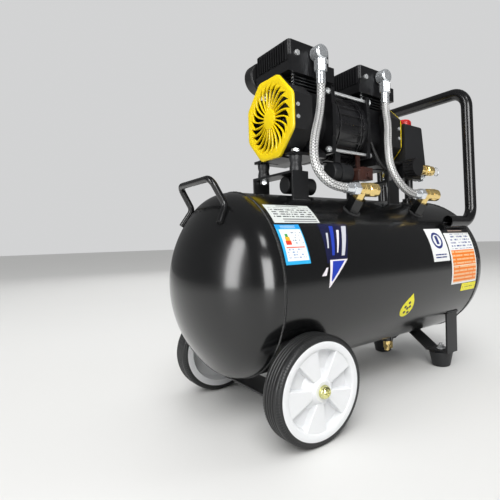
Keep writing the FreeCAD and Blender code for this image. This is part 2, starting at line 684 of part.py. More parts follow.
def fan_grille(side):
    """Octagonal guard with a swirl of curved ribs round a plain hub disc."""
    front = PUMP_X + side * GRILLE_REACH
    start = min(front, front - side * GRILLE_THICK)
    plate = regular((start, 0, SHAFT_Z), X, 2 * COWL_INRADIUS, GRILLE_THICK, 8)
    slots = []
    count = 24
    inner_r, outer_r = 17.0, 59.0
    pitch = 2 * math.pi / count
    for index in range(count):
        angle = index * pitch
        corners = []
        for radius, sweep in ((inner_r, 0.0), ((inner_r + outer_r) / 2, 0.34), (outer_r, 1.0)):
            swirl = angle - side * 0.62 * sweep
            half = pitch / 2 - 1.9 / radius
            corners.append((radius, swirl - half, swirl + half))

        def place(radius, turn):
            return V(start - 1, radius * math.cos(turn), SHAFT_Z + radius * math.sin(turn))
        one = [place(corner[0], corner[1]) for corner in corners]
        two = [place(corner[0], corner[2]) for corner in corners]
        edges = [Part.Arc(*one).toShape(), Part.makeLine(one[2], two[2]),
                 Part.Arc(two[2], two[1], two[0]).toShape(), Part.makeLine(two[0], one[0])]
        slots.append(Part.Face(Part.Wire(edges)).extrude(V(GRILLE_THICK + 2, 0, 0)))
    return plate.cut(Part.makeCompound(slots))


def cooling_fan(side):
    """Fan with twisted blades on the end of the shaft."""
    middle = PUMP_X + side * (GRILLE_REACH - 11.5)
    hub = ring((middle - FAN_WIDTH / 2, 0, SHAFT_Z), X, FAN_HUB_R, SHAFT_R, FAN_WIDTH)
    blades = []
    for index in range(FAN_BLADES):
        blade = box(-1.0, 1.0, -12.0, 12.0, FAN_HUB_R - 2, FAN_R - 1)
        blade.rotate(V(0, 0, 0), Z, 62)
        blade.translate(V(middle, 0, SHAFT_Z))
        blade.rotate(V(middle, 0, SHAFT_Z), X, 360.0 * index / FAN_BLADES)
        blades.append(blade)
    rim_cut = ring((middle - 20, 0, SHAFT_Z), X, FAN_R + 20, FAN_R, 40)
    slab = box(middle - FAN_WIDTH / 2, middle + FAN_WIDTH / 2, -90, 90, SHAFT_Z - 90, SHAFT_Z + 90)
    return fuse([hub] + blades).common(slab).cut(rim_cut)


def motor_housing():
    """Finned barrel between the two crankcases."""
    half = MOTOR_HALF_LENGTH
    barrel = rod((PUMP_X - half, 0, SHAFT_Z), X, MOTOR_R - 4, 2 * half)
    bands = []
    for along, width in ((-half, 10), (half - 10, 10), (-half + 13, 3), (half - 16, 3)):
        bands.append(rod((PUMP_X + along, 0, SHAFT_Z), X, MOTOR_R, width))
    ribs = []
    for index in range(24):
        rib = box(PUMP_X - half + 6, PUMP_X + half - 6, -1.2, 1.2, MOTOR_R - 6, MOTOR_R - 1)
        rib.rotate(V(0, 0, 0), X, 15.0 * index)
        rib.translate(V(0, 0, SHAFT_Z))
        ribs.append(rib)
    body = fuse([barrel] + bands + ribs)
    body = body.cut(rod((PUMP_X - half - 1, 0, SHAFT_Z), X, MOTOR_R - 8, 2 * half + 2))
    for y in (-TIE_Y, TIE_Y):
        for z in (-TIE_Z, TIE_Z):
            body = body.cut(rod((PUMP_X - half - 1, y, SHAFT_Z + z), X, TIE_R + 0.1, 2 * half + 2))
    return body


def stator_core():
    """Laminated ring with slots for the winding."""
    half = 26.0
    core = ring((PUMP_X - half, 0, SHAFT_Z), X, MOTOR_R - 8, 33, 2 * half)
    slots = []
    for index in range(24):
        slot = box(PUMP_X - half - 1, PUMP_X + half + 1, -2.2, 2.2, 30, 48)
        slot.rotate(V(0, 0, 0), X, 15.0 * index)
        slot.translate(V(0, 0, SHAFT_Z))
        slots.append(slot)
    return core.cut(Part.makeCompound(slots))


def stator_windings():
    """Coil bundles standing out of both ends of the core."""
    bundles = []
    for side, _ in SIDES:
        start = PUMP_X + (26.0 if side > 0 else -38.0)
        bundles.append(ring((start, 0, SHAFT_Z), X, 49, 35, 12))
    return bundles


def tie_bolts():
    """Four long rods clamping motor and crankcases, with nuts at both ends."""
    pieces = []
    reach = MOTOR_HALF_LENGTH + FLANGE_THICK
    for y in (-TIE_Y, TIE_Y):
        for z in (-TIE_Z, TIE_Z):
            pieces.append(rod((PUMP_X - reach - 9, y, SHAFT_Z + z), X, TIE_R, 2 * reach + 18))
            bore = rod((PUMP_X - reach - 20, y, SHAFT_Z + z), X, TIE_R, 2 * reach + 40)
            for start in (PUMP_X - reach - 6, PUMP_X + reach):
                pieces.append(regular((start, y, SHAFT_Z + z), X, 10, 6).cut(bore))
    return pieces


def shaft_bearings():
    """Ball bearings seated in the crankcase walls, each as its outer and inner ring."""
    pieces = []
    for side, _ in SIDES:
        wall = PUMP_X + side * (MOTOR_HALF_LENGTH + 0.5)
        start = min(wall, wall + side * BEARING_WIDTH)
        pieces.append(ring((start, 0, SHAFT_Z), X, BEARING_R, 11.6, BEARING_WIDTH))
    return pieces


def motor_shaft():
    """Stepped shaft through motor, bearings, eccentrics and fans."""
    reach = GRILLE_REACH - 5.0
    thick = MOTOR_HALF_LENGTH + 0.5 + BEARING_WIDTH
    profile = [(-reach, 0), (-reach, SHAFT_R), (-thick, SHAFT_R), (-thick, 11.6 - RUN_GAP),
               (thick, 11.6 - RUN_GAP), (thick, SHAFT_R), (reach, SHAFT_R), (reach, 0)]
    return turned(profile, (PUMP_X, 0, SHAFT_Z), X)


def rotor_core():
    """Rotor stack pressed on the shaft."""
    return ring((PUMP_X - 27, 0, SHAFT_Z), X, 32.6, 11.6 - RUN_GAP, 54)


def eccentric(side):
    """Eccentric journal with its counterweight; left crank up, right crank down."""
    up = -side
    throw = STROKE / 2
    x = SIDE_CYLINDER[side]
    journal = rod((x - ECCENTRIC_WIDTH / 2, 0, SHAFT_Z + up * throw), X, ECCENTRIC_R, ECCENTRIC_WIDTH)
    weight_x = x - side * (ECCENTRIC_WIDTH / 2 + 1 + 9)
    start = min(weight_x, weight_x + side * 9)
    disc = rod((start, 0, SHAFT_Z), X, 37, 9)
    low, high = (SHAFT_Z - 40, SHAFT_Z - 4) if up > 0 else (SHAFT_Z + 4, SHAFT_Z + 40)
    weight = disc.common(box(start, start + 9, -40, 40, low, high))
    hub_start = min(x - side * 14, x + side * ECCENTRIC_WIDTH / 2)
    hub = rod((hub_start, 0, SHAFT_Z), X, SHAFT_R + 5, 14 + ECCENTRIC_WIDTH / 2)
    shaft = rod((x - 40, 0, SHAFT_Z), X, SHAFT_R, 80)
    limit = box(x - 40, x + 40, -60, 60, SHAFT_Z - 60, SHAFT_Z + 60)
    body = fuse([journal, weight, hub.common(box(start, start + 9, -20, 20, SHAFT_Z - 20, SHAFT_Z + 20))])
    web_start = min(x - side * (ECCENTRIC_WIDTH / 2 + 1), x - side * ECCENTRIC_WIDTH / 2)
    web = rod((web_start, 0, SHAFT_Z), X, SHAFT_R + 5, 1)
    return fuse([body, web]).common(limit).cut(shaft)


def connecting_rod(side):
    """Ring round the eccentric and a short stem with the piston table."""
    up = -side
    x = SIDE_CYLINDER[side]
    pin_z = SHAFT_Z + up * STROKE / 2
    half = ECCENTRIC_WIDTH / 2
    table_top = pin_z + DECK_Z - SHAFT_Z - STROKE / 2 + 2.0
    ring_body = rod((x - half, 0, pin_z), X, ROD_RING_R, 2 * half)
    stem = box(x - half, x + half, -9, 9, pin_z + ECCENTRIC_R + 3, table_top - 1)
    table = box(x - half, x + half, -ROD_TABLE_R, ROD_TABLE_R, table_top - 4, table_top)
    body = fuse([ring_body, stem, table])
    return body.cut(rod((x - half - 1, 0, pin_z), X, ECCENTRIC_R + RUN_GAP, 2 * half + 2))


def piston(side):
    """Piston disc with its cup lip; left at the top of its stroke, right at the bottom."""
    x = SIDE_CYLINDER[side]
    crown = HEAD_BASE_Z - DEAD_GAP - (STROKE if side > 0 else 0.0)
    disc = rod((x, 0, crown - PISTON_THICK), Z, BORE_R - 1.2, PISTON_THICK - 2)
    cup = rod((x, 0, crown - PISTON_THICK + 2), Z, BORE_R - PISTON_GAP, PISTON_THICK - 2)
    return fuse([disc, cup])


def cylinder(side):
    """Sleeve with base flange and cooling fins."""
    x = SIDE_CYLINDER[side]
    sleeve = rod((x, 0, DECK_Z), Z, BORE_R + SLEEVE_WALL, HEAD_BASE_Z - DECK_Z)
    plates = [box(x - FIN_HALF_X, x + FIN_HALF_X, -FIN_HALF_Y, FIN_HALF_Y, DECK_Z, DECK_Z + 4)]
    for index in range(4):
        z = DECK_Z + 8 + 5.5 * index
        plates.append(box(x - FIN_HALF_X, x + FIN_HALF_X, -FIN_HALF_Y, FIN_HALF_Y, z, z + 2))
    body = fuse([sleeve] + plates).cut(rod((x, 0, DECK_Z - 1), Z, BORE_R, 60))
    for sx, sy in stud_places():
        body = body.cut(rod((x + sx, sy, DECK_Z - 1), Z, 3.1, 60))
    return body


def stud_places():
    """Offsets of the four cylinder studs from the bore."""
    return [(sx, sy) for sx in (-STUD_X, STUD_X) for sy in (-STUD_Y, STUD_Y)]


def valve_plate(side):
    """Steel plate between cylinder and head with its valve ports."""
    x = SIDE_CYLINDER[side]
    plate = box(x - HEAD_BACK, x + HEAD_FLANGE_FRONT, -HEAD_HALF_Y, HEAD_HALF_Y, HEAD_BASE_Z,
                HEAD_BASE_Z + VALVE_PLATE)
    for sx in (-14, 14):
        for sy in (-8, 8):
            plate = plate.cut(rod((x + sx, sy, HEAD_BASE_Z - 1), Z, 3, VALVE_PLATE + 2))
    for sx, sy in stud_places():
        plate = plate.cut(rod((x + sx, sy, HEAD_BASE_Z - 1), Z, 3.1, VALVE_PLATE + 2))
    return plate


def cylinder_head(side):
    """Stepped head with end ribs, two air chambers, screw pockets and the outlet port."""
    x = SIDE_CYLINDER[side]
    base = HEAD_BASE_Z + VALVE_PLATE
    y = HEAD_HALF_Y
    lower = box(x - HEAD_BACK + 3, x + HEAD_FLANGE_FRONT, -y, y, base, HEAD_STEP_Z)
    upper = box(x - HEAD_BACK + 3, x + HEAD_FRONT, -y, y, base, HEAD_TOP_Z)
    upright = [edge for edge in upper.Edges if edge.BoundBox.ZLength > 30]
    upper = upper.makeFillet(6, upright)
    ribs = []
    for index in range(13):
        middle = (index - 6) * 7.2
        ribs.append(span_box(x - HEAD_BACK, 8, middle - 1.3, middle + 1.3, base + 12, HEAD_TOP_Z - 3))
    lip = box(x - HEAD_BACK, x - HEAD_BACK + 6, -y, y, base, base + 8)
    top_ribs = []
    for index in range(9):
        along = x - 32 + 8 * index
        top_ribs.append(box(along - 1.5, along + 1.5, -y + 12, y - 12, HEAD_TOP_Z - 4, HEAD_TOP_Z))
    body = fuse([lower, upper, lip] + ribs)
    trough = box(x - 38, x + 38, -y + 12, y - 12, HEAD_TOP_Z - 3.5, HEAD_TOP_Z + 1)
    body = body.cut(trough)
    body = fuse([body] + top_ribs)
    for cx in (-20, 20):
        body = body.cut(box(x + cx - 13, x + cx + 13, -28, 28, base - 1, base + 18))
    for sx, sy in stud_places():
        body = body.cut(rod((x + sx, sy, base - 1), Z, 3.1, 60))
        body = body.cut(rod((x + sx, sy, HEAD_TOP_Z - 9), Z, 6.2, 20))
    port = rod((x + ELBOW_OFFSET, -y - 1, ELBOW_Z), Y, 6.05, 20)
    return body.cut(port)


def pump_screws():
    """Cylinder studs with cap heads, side screws of heads and cowls."""
    pieces = []
    for side, _ in SIDES:
        x = SIDE_CYLINDER[side]
        for sx, sy in stud_places():
            shank = rod((x + sx, sy, DECK_Z), Z, 3, HEAD_TOP_Z - 9 - DECK_Z)
            head = rod((x + sx, sy, HEAD_TOP_Z - 9), Z, 5, 6)
            socket = regular((x + sx, sy, HEAD_TOP_Z - 6), Z, 5, 4)
            pieces.append(fuse([shank, head]).cut(socket))
        for sx, z in ((-31, ELBOW_Z - 5), (35, ELBOW_Z - 3)):
            pieces.append(regular((x + sx, -HEAD_HALF_Y - 4, z), Y, 9, 4))
        pieces.append(regular((x + 35, HEAD_HALF_Y, ELBOW_Z - 3), Y, 9, 4))
        cowl_x = PUMP_X + side * (GRILLE_REACH - GRILLE_THICK - 6)
        for z in (SHAFT_Z - 10, SHAFT_Z + 10):
            pieces.append(rod((cowl_x, -COWL_INRADIUS - 2, z), Y, 3.4, 2))
            pieces.append(rod((cowl_x, COWL_INRADIUS, z), Y, 3.4, 2))
    return pieces


def air_filter(side):
    """Round intake filter on the far side of a head."""
    x = SIDE_CYLINDER[side] - 28
    z = HEAD_STEP_Z - 4
    profile = [(0, 0), (0, 12), (6, 12), (6, 27), (8, 29), (30, 29), (34, 25), (34, 0)]
    return turned(profile, (x, HEAD_HALF_Y, z), Y)


# ---- delivery line ------------------------------------------------------------------
def hose_route(side):
    """Route of a hose: straight down out of its elbow, and along the tank into its check valve."""
    top_x = SIDE_CYLINDER[side] + ELBOW_OFFSET
    first, last = HOSE_RUNS[side]
    end = V(CHECK_X[0 if side < 0 else 1] - HOSE_END_BACK, 0, 0) + radial(CHECK_AXIS_R)
    bends = HOSE_LEFT_BENDS if side < 0 else HOSE_RIGHT_BENDS
    start = [(top_x, -ELBOW_Y, HOSE_TOP_Z), (top_x, -ELBOW_Y, HOSE_TOP_Z - first)]
    return start + bends + [(end.x - last, end.y, end.z), (end.x, end.y, end.z)]


def elbow_fittings(side):
    """Round outlet elbow, union nut and crimped ferrule on a head."""
    x = SIDE_CYLINDER[side] + ELBOW_OFFSET
    body = rod((x, -HEAD_HALF_Y - 25, ELBOW_Z), Y, ELBOW_R, 25)
    rims = [edge for edge in body.Edges if abs(edge.BoundBox.ZLength - 2 * ELBOW_R) < 0.1]
    body = body.makeFillet(5, [edge for edge in rims if edge.BoundBox.YLength < 0.1])
    stub = rod((x, -HEAD_HALF_Y - 5, ELBOW_Z), Y, 6, 12)
    neck = rod((x, -ELBOW_Y, ELBOW_Z - 14), Z, 8, 12)
    body = fuse([body, stub, neck])
    nut = regular((x, -ELBOW_Y, ELBOW_Z - 32), Z, HOSE_NUT_AF, 18)
    low = ELBOW_Z - 54
    profile = [(0, HOSE_R + 0.05), (0, FERRULE_R), (5, FERRULE_R), (6, FERRULE_R - 0.6), (8, FERRULE_R),
               (13, FERRULE_R), (14, FERRULE_R - 0.6), (16, FERRULE_R), (22, FERRULE_R - 0.4), (22, 0),
               (9, 0), (9, HOSE_R + 0.05)]
    ferrule = turned(profile, (x, -ELBOW_Y, low), Z)
    return [body, nut, ferrule]


def check_fittings(x):
    """Ferrule and union nut where a hose meets its check valve."""
    base = V(x, 0, 0) + radial(CHECK_AXIS_R)
    nut = regular(base + V(-25, 0, 0), X, HOSE_NUT_AF, 13)
    profile = [(0, HOSE_R + 0.05), (0, FERRULE_R), (5, FERRULE_R), (6, FERRULE_R - 0.6), (8, FERRULE_R),
               (17, FERRULE_R), (17, 0), (9.5, 0), (9.5, HOSE_R + 0.05)]
    ferrule = turned(profile, base + V(-42, 0, 0), X)
    return [nut, ferrule]


def check_valve(x):
    """Brass check valve: body along the tank, branch down into the bung."""
    base = V(x, 0, 0) + radial(CHECK_AXIS_R)
    profile = [(-12, 0), (-12, 9), (-2, 9), (0, 11.5), (8, 12), (10, 11), (12, 12.2), (22, 12.2), (24, 11),
               (26, 12), (33, 12), (36, 9.5), (36, 0)]
    body = turned(profile, base, X)
    hexagon = regular(base + V(12, 0, 0), X, 23, 10)
    branch = rod(V(x, 0, 0) + radial(BUNG_TOP_R - 14), PORT_AXIS, 6.98, CHECK_AXIS_R - BUNG_TOP_R + 14)
    collar = regular(V(x, 0, 0) + radial(BUNG_TOP_R), PORT_AXIS, 18, CHECK_AXIS_R - BUNG_TOP_R)
    return fuse([body, hexagon, branch, collar])


# ---- electrics ----------------------------------------------------------------------
def start_capacitor():
    """Capacitor can in a strap hung under the motor, and the running one under the left saddle."""
    x0 = PUMP_X - 40
    z = SHAFT_Z - MOTOR_R - 24
    can = rod((x0, -42, z), X, 18, 50)
    rims = [edge for edge in can.Edges if edge.BoundBox.XLength < 0.1]
    can = can.makeFillet(2.5, rims)
    strap = ring((x0 + 18, -42, z), X, 20, 18, 14)
    hanger = box(x0 + 18, x0 + 32, -40.5, -34.5, z + 18.5, SHAFT_Z - 40)
    hanger = hanger.cut(rod((PUMP_X - 60, 0, SHAFT_Z), X, MOTOR_R - 4 + SEAT_GAP, 120))
    second = rod((PUMP_X - SADDLE_REACH - 2, -17, SADDLE_TOP_Z - PLATE - SECOND_CAN_R), X, SECOND_CAN_R, 63)
    rims = [edge for edge in second.Edges if edge.BoundBox.XLength < 0.1]
    second = second.makeFillet(2.0, rims)
    return [can, fuse([strap, hanger]), second]


def unloader_valve():
    """Moulded block and cast frame hung beside the capacitor."""
    x = PUMP_X + 26
    z = SHAFT_Z - MOTOR_R - 27
    frame = prism([(x - 14, -44, z - 11), (x - 14, -44, z + 8), (x - 4, -44, z + 15), (x, -44, z + 15),
                   (x, -44, z - 11)], V(0, -24, 0))
    block = box(x, x + 26, -68, -44, z - 9, z + 15)
    nut = regular((x + 13, -68, z), -Y, 12, 5)
    hanger = box(x + 2, x + 12, -48, -44, z + 10, SHAFT_Z - 38)
    hanger = hanger.cut(rod((PUMP_X - 60, 0, SHAFT_Z), X, MOTOR_R + SEAT_GAP, 120))
    return [frame, fuse([block, nut, hanger])]


def switch_body():
    """Base of the pressure switch with its contact block and flange."""
    x0, x1 = SWITCH_X
    y0, y1 = SWITCH_Y
    z0 = SWITCH_Z[0]
    base = box(x0, x1, y0, y1, z0, z0 + SWITCH_BASE)
    contacts = box(x0 + 18, x1 - 18, y0 + 14, y1 - 14, z0 + SWITCH_BASE, z0 + 52)
    spring = rod((x0 + 12, (y0 + y1) / 2, z0 + SWITCH_BASE), Z, 5, 48)
    gland = rod((x0 - 9, LEAD[-1][1], LEAD[-1][2]), X, 4.35, 10)
    gland = gland.cut(rod((x0 - 9, LEAD[-1][1], LEAD[-1][2]), X, LEAD_R + SEAT_GAP, 8))
    return fuse([base, contacts, spring, gland])


def switch_cover():
    """Tapered moulded cover over the pressure switch."""
    def block(inset, z0, z1, taper):
        x0, x1 = SWITCH_X
        y0, y1 = SWITCH_Y
        loops = []
        for z, lean in ((z0, 0.0), (z1, taper)):
            xa = x0 + inset + lean / 2
            xb = x1 - inset - lean
            ya = y0 + inset + lean / 2
            yb = y1 - inset - lean / 2
            corners = [V(xa, ya, z), V(xb, ya, z), V(xb, yb, z), V(xa, yb, z)]
            loops.append(Part.makePolygon(corners + corners[:1]))
        return Part.makeLoft(loops, True)
    z0 = SWITCH_Z[0] + SWITCH_BASE
    z1 = SWITCH_Z[1]
    outer = block(0, z0, z1, 7.0)
    upper = [edge for edge in outer.Edges if edge.BoundBox.ZMin > z1 - 1]
    outer = outer.makeFillet(5, upper)
    inner = block(COVER_WALL, z0 - 1, z1 - COVER_WALL, 7.0)
    knob = rod(((SWITCH_X[0] + SWITCH_X[1]) / 2, (SWITCH_Y[0] + SWITCH_Y[1]) / 2, z1 - 20), Z, 5.1, 40)
    return outer.cut(inner).cut(knob)


def pull_knob():
    """Red on-off knob that pulls up through the cover."""
    x = (SWITCH_X[0] + SWITCH_X[1]) / 2
    y = (SWITCH_Y[0] + SWITCH_Y[1]) / 2
    z = SWITCH_Z[1]
    profile = [(-20, 0), (-20, 5), (1, 5), (1, 13), (3, 15), (11, 15), (15, 12), (16, 0)]
    return turned(profile, (x, y, z), Z)


def air_manifold():
    """Riser pipe and outlet block, with the regulator neck."""
    low = tank_top(RISER_Y) - 8
    riser = rod((RISER_X, RISER_Y, low), Z, RISER_R, BLOCK_Z[0] + 2 - low)
    block = box(BLOCK_X[0], BLOCK_X[1], BLOCK_Y[0], BLOCK_Y[1], BLOCK_Z[0], BLOCK_Z[1])
    neck = rod((KNOB_X, BLOCK_Y[0], PORT_Z), -Y, 7.5, 6)
    spindle = rod((KNOB_X, BLOCK_Y[0] - 6, PORT_Z), -Y, 5, 16)
    body = fuse([riser, block, neck, spindle])
    body = body.cut(rod((RISER_X, BLOCK_Y[0] - 1, PORT_Z), Y, 6.5, 12))
    body = body.cut(rod((BLOCK_X[1] + 1, COUPLER_Y, PORT_Z - 6), -X, 6.5, 12))
    return body.cut(rod((RISER_X, BLOCK_Y[1] + 1, PORT_Z - 8), -Y, 5, 10))


def regulator_knob():
    """Ribbed cap that turns on the regulator spindle."""
    start = BLOCK_Y[0] - 6 - KNOB_TRAVEL_GAP
    cap = rod((KNOB_X, start, PORT_Z), -Y, KNOB_R - 1.5, 25)
    ribs = []
    for index in range(18):
        rib = rod((KNOB_X + KNOB_R - 1.9, start - 2, PORT_Z), -Y, 1.9, 21)
        rib.rotate(V(KNOB_X, 0, PORT_Z), Y, 20.0 * index)
        ribs.append(rib)
    return fuse([cap] + ribs).cut(rod((KNOB_X, start + 1, PORT_Z), -Y, 5 + RUN_GAP, 18))


def safety_valve():
    """Brass relief valve screwed into the front of the block and turned along the tank."""
    arm = rod((RISER_X, BLOCK_Y[0] + 8, PORT_Z), -Y, 6.45, 8)
    elbow = rod((RISER_X, BLOCK_Y[0], PORT_Z), -Y, 7.9, BLOCK_Y[0] - VALVE_Y)
    profile = [(-9, 0), (-9, 9), (16, 9), (16, 9.6), (18, 11.4), (26, 11.4), (28, 9.6), (30, 10.6),
               (38, 10.6), (42, 8), (42, 0)]
    body = turned(profile, (RISER_X, VALVE_Y, PORT_Z), X)
    hexagon = regular((RISER_X + 8, VALVE_Y, PORT_Z), X, 20, 6)
    body = fuse([arm, elbow, body, hexagon])
    return body.cut(rod((RISER_X + 30, VALVE_Y, PORT_Z), X, 2.06, 20))


def safety_ring():
    """Pull pin and split ring of the relief valve."""
    end = RISER_X + 42
    pin = rod((end - 10, VALVE_Y, PORT_Z), X, 2, 17)
    loop = Part.makeTorus(9, 1.1, V(end + 15, VALVE_Y, PORT_Z), Y)
    return fuse([pin, loop])


def quick_coupler():
    """Steel body of the outlet coupler."""
    z = PORT_Z - 6
    profile = [(-8, 0), (-8, 6.45), (0, 6.45), (0, 9), (8, 9), (8, 8), (34, 8), (34, 9), (37, 9),
               (37, 5.5), (10, 5.5), (10, 0)]
    body = turned(profile, (BLOCK_X[1], COUPLER_Y, z), X)
    return fuse([body, regular((BLOCK_X[1], COUPLER_Y, z), X, 19, 7)])


def coupler_sleeve():
    """Knurled sleeve that slides back to release the plug."""
    return ring((BLOCK_X[1] + 14, COUPLER_Y, PORT_Z - 6), X, SLEEVE_R, 8 + RUN_GAP, 19.5)


def pressure_gauge():
    """Gauge on the back of the block: stem, case with bezel, dial."""
    z = PORT_Z - 8
    back = SWITCH_Y[1] + 2
    stem = rod((RISER_X, BLOCK_Y[1] - 8, z), Y, 4.95, back + 8 - BLOCK_Y[1])
    profile = [(0, 0), (0, GAUGE_R - 1), (17, GAUGE_R - 1), (17, GAUGE_R), (22, GAUGE_R), (22, GAUGE_R - 2.5),
               (12, GAUGE_R - 2.5), (12, 1.5), (16, 1.5), (16, 0)]
    case = turned(profile, (RISER_X, back, z), Y)
    return fuse([stem, case])


def gauge_needle():
    """Pointer on the gauge spindle, at its stop at lower left as seen from behind the tank."""
    z = PORT_Z - 8
    y = SWITCH_Y[1] + 2 + 13.5
    boss = ring((RISER_X, y, z), Y, 3, 1.5 + RUN_GAP, 2)
    pointer = prism([(RISER_X - 0.9, y + 0.5, z + 2.2), (RISER_X + 0.9, y + 0.5, z + 2.2),
                     (RISER_X + 0.3, y + 0.5, z + 15), (RISER_X - 0.3, y + 0.5, z + 15)], V(0, 0.8, 0))
    needle = fuse([boss, pointer])
    needle.rotate(V(RISER_X, y, z), Y, 135)
    return needle


def drain_valve():
    """Brass drain cock screwed up into the drain boss."""
    top = TANK_Z - TANK_R - DRAIN_DROP
    thread = rod((DRAIN_X, 0, top), Z, 5.95, 10)
    body = regular((DRAIN_X, 0, top - 8), Z, 15, 8)
    spout = ring((DRAIN_X, 0, top - 22), Z, 6, 2, 15)
    barrel = rod((DRAIN_X - 6, 0, top - 13), X, 5.5, 14)
    bore = rod((DRAIN_X - 2, 0, top - 13), X, 2.56, 30)
    return fuse([thread, body, spout, barrel]).cut(bore)


def drain_wing():
    """Wing screw of the drain cock."""
    top = TANK_Z - TANK_R - DRAIN_DROP
    stem = rod((DRAIN_X, 0, top - 13), X, 2.5, 12)
    wing = box(DRAIN_X + 9.5, DRAIN_X + 19, -1.5, 1.5, top - 21, top - 5)
    collar = rod((DRAIN_X + 8.3, 0, top - 13), X, 4, 3)
    wing = wing.makeFillet(1.2, [edge for edge in wing.Edges if edge.BoundBox.YLength > 2])
    return fuse([stem, wing, collar])


def write(name, shapes):
    """Save one node as a STEP file."""
    solids = []
    for shape in shapes:
        solids.extend(shape.Solids)
    for solid in solids:
        if not solid.isValid() or solid.Volume <= 0:
            print("CHECK", name, solid.isValid(), solid.Volume)
    Part.makeCompound(solids).exportStep("parts/" + name + ".step")
    print(name, len(solids), "solids")


def main():
    """Build every sub-part."""
    os.makedirs("parts", exist_ok=True)
    write("tank_shell", [tank_shell()])
    dome = tank_dome()
    write("tank_domes", [dome.mirror(V(0, 0, 0), X), dome])
    write("tank_seam_welds", [seam_weld(-SHELL_LENGTH / 2), seam_weld(SHELL_LENGTH / 2)])
    write("tank_bungs", tank_bungs())
    write("carry_handle", [carry_handle()])
    write("push_handle", [push_handle()])
    rim = wheel_rim()
    tyre = wheel_tyre()
    for side, name in ((-1, "near"), (1, "far")):
        write("wheel_rim_" + name, [at_wheel(rim, side)])
        write("wheel_tyre_" + name, [at_wheel(tyre, side)])
    write("axle_bracket", [axle_bracket()])
    bolts = axle_bolts() + [axle_bush()]
    write("axle_bolts", bolts + [mirrored_y(piece) for piece in bolts])
    write("foot_bracket", [foot_bracket()])
    write("rubber_feet", [rubber_foot(), mirrored_y(rubber_foot())])
    write("saddles", [saddle(PUMP_X - SADDLE_REACH), saddle(PUMP_X + SADDLE_REACH)])
    write("rubber_mounts", [rubber_mount(x, y) for x, y in mount_places()])
    fasteners = foot_bolt()
    fasteners = fasteners + [mirrored_y(piece) for piece in fasteners]
    for x, y in mount_places():
        fasteners.extend(mount_stud(x, y))
    write("mounting_bolts", fasteners)
    for side, name in SIDES:
        write("crankcase_" + name, [crankcase(side)])
        write("fan_shroud_" + name, [fan_cowl(side)])
        write("fan_grille_" + name, [fan_grille(side)])
        write("connecting_rod_" + name, [connecting_rod(side)])
        write("piston_" + name, [piston(side)])
    write("cooling_fans", [cooling_fan(-1), cooling_fan(1)])
    write("motor_housing", [motor_housing()])
    write("stator_core", [stator_core()])
    write("stator_windings", stator_windings())
    write("tie_bolts", tie_bolts())
    write("shaft_bearings", shaft_bearings())
    write("motor_shaft", [motor_shaft()])
    write("rotor_core", [rotor_core()])
    write("eccentrics", [eccentric(-1), eccentric(1)])
    write("cylinders", [cylinder(-1), cylinder(1)])
    write("valve_plates", [valve_plate(-1), valve_plate(1)])
    write("cylinder_heads", [cylinder_head(-1), cylinder_head(1)])
    write("pump_screws", pump_screws())
    write("air_filters", [air_filter(-1), air_filter(1)])
    fittings = elbow_fittings(-1) + elbow_fittings(1)
    for x in CHECK_X:
        fittings = fittings + check_fittings(x)
    write("hose_fittings", fittings)
    for side, name in SIDES:
        write("hose_" + name, [cord(hose_route(side), HOSE_R, "hose_" + name)])
    write("check_valves", [check_valve(x) for x in CHECK_X])
    write("start_capacitor", start_capacitor())
    write("unloader_valve", unloader_valve())
    write("switch_body", [switch_body()])
    write("switch_cover", [switch_cover()])
    write("pull_knob", [pull_knob()])
    write("air_manifold", [air_manifold()])
    write("regulator_knob", [regulator_knob()])
    write("outlet_fittings", [safety_valve(), quick_coupler()])
    write("safety_ring", [safety_ring()])
    write("coupler_sleeve", [coupler_sleeve()])
    write("pressure_gauge", [pressure_gauge()])
    write("gauge_needle", [gauge_needle()])
    write("drain_valve", [drain_valve()])
    write("drain_wing", [drain_wing()])
    write("motor_lead", [cord(LEAD, LEAD_R, "motor_lead")])


main()
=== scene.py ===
"""Portable air compressor: the visible pieces and finishes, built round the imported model.

Everything is in metres in the model's own frame: floor at z = 0 under the middle of the tank,
+X towards the push handle, +Z up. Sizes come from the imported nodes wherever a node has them.
"""
import json
import logging
import math
from dataclasses import dataclass, field
from enum import Enum
from typing import Callable, Iterable, Sequence

import bmesh
import bpy
from mathutils import Matrix, Vector


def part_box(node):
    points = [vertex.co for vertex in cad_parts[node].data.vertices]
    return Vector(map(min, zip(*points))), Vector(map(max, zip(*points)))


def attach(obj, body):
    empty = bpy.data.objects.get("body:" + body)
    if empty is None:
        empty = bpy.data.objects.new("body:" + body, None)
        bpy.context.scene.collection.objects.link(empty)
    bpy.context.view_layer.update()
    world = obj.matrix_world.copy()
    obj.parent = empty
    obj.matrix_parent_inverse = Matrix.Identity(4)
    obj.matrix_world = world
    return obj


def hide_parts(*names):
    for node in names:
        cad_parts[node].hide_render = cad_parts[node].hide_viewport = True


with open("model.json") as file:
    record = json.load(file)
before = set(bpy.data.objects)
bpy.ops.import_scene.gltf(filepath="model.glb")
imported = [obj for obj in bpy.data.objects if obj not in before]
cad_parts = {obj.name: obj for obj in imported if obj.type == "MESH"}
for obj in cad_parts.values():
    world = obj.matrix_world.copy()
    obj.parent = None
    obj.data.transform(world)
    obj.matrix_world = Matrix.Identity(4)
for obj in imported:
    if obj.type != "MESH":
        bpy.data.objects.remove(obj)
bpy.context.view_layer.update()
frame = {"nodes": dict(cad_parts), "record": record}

LOG = logging.getLogger("compressor")
AXIS_X = Vector((1, 0, 0))
AXIS_Y = Vector((0, 1, 0))
AXIS_Z = Vector((0, 0, 1))
TURN = 2 * math.pi
SAME_POINT = 1e-6
MERGE_REACH = 5e-6
NO_LENGTH = 1e-7
FLAT_ANGLE = math.radians(0.5)
EDGE_ANGLE = 35.0
FACET_ANGLE = 40.0

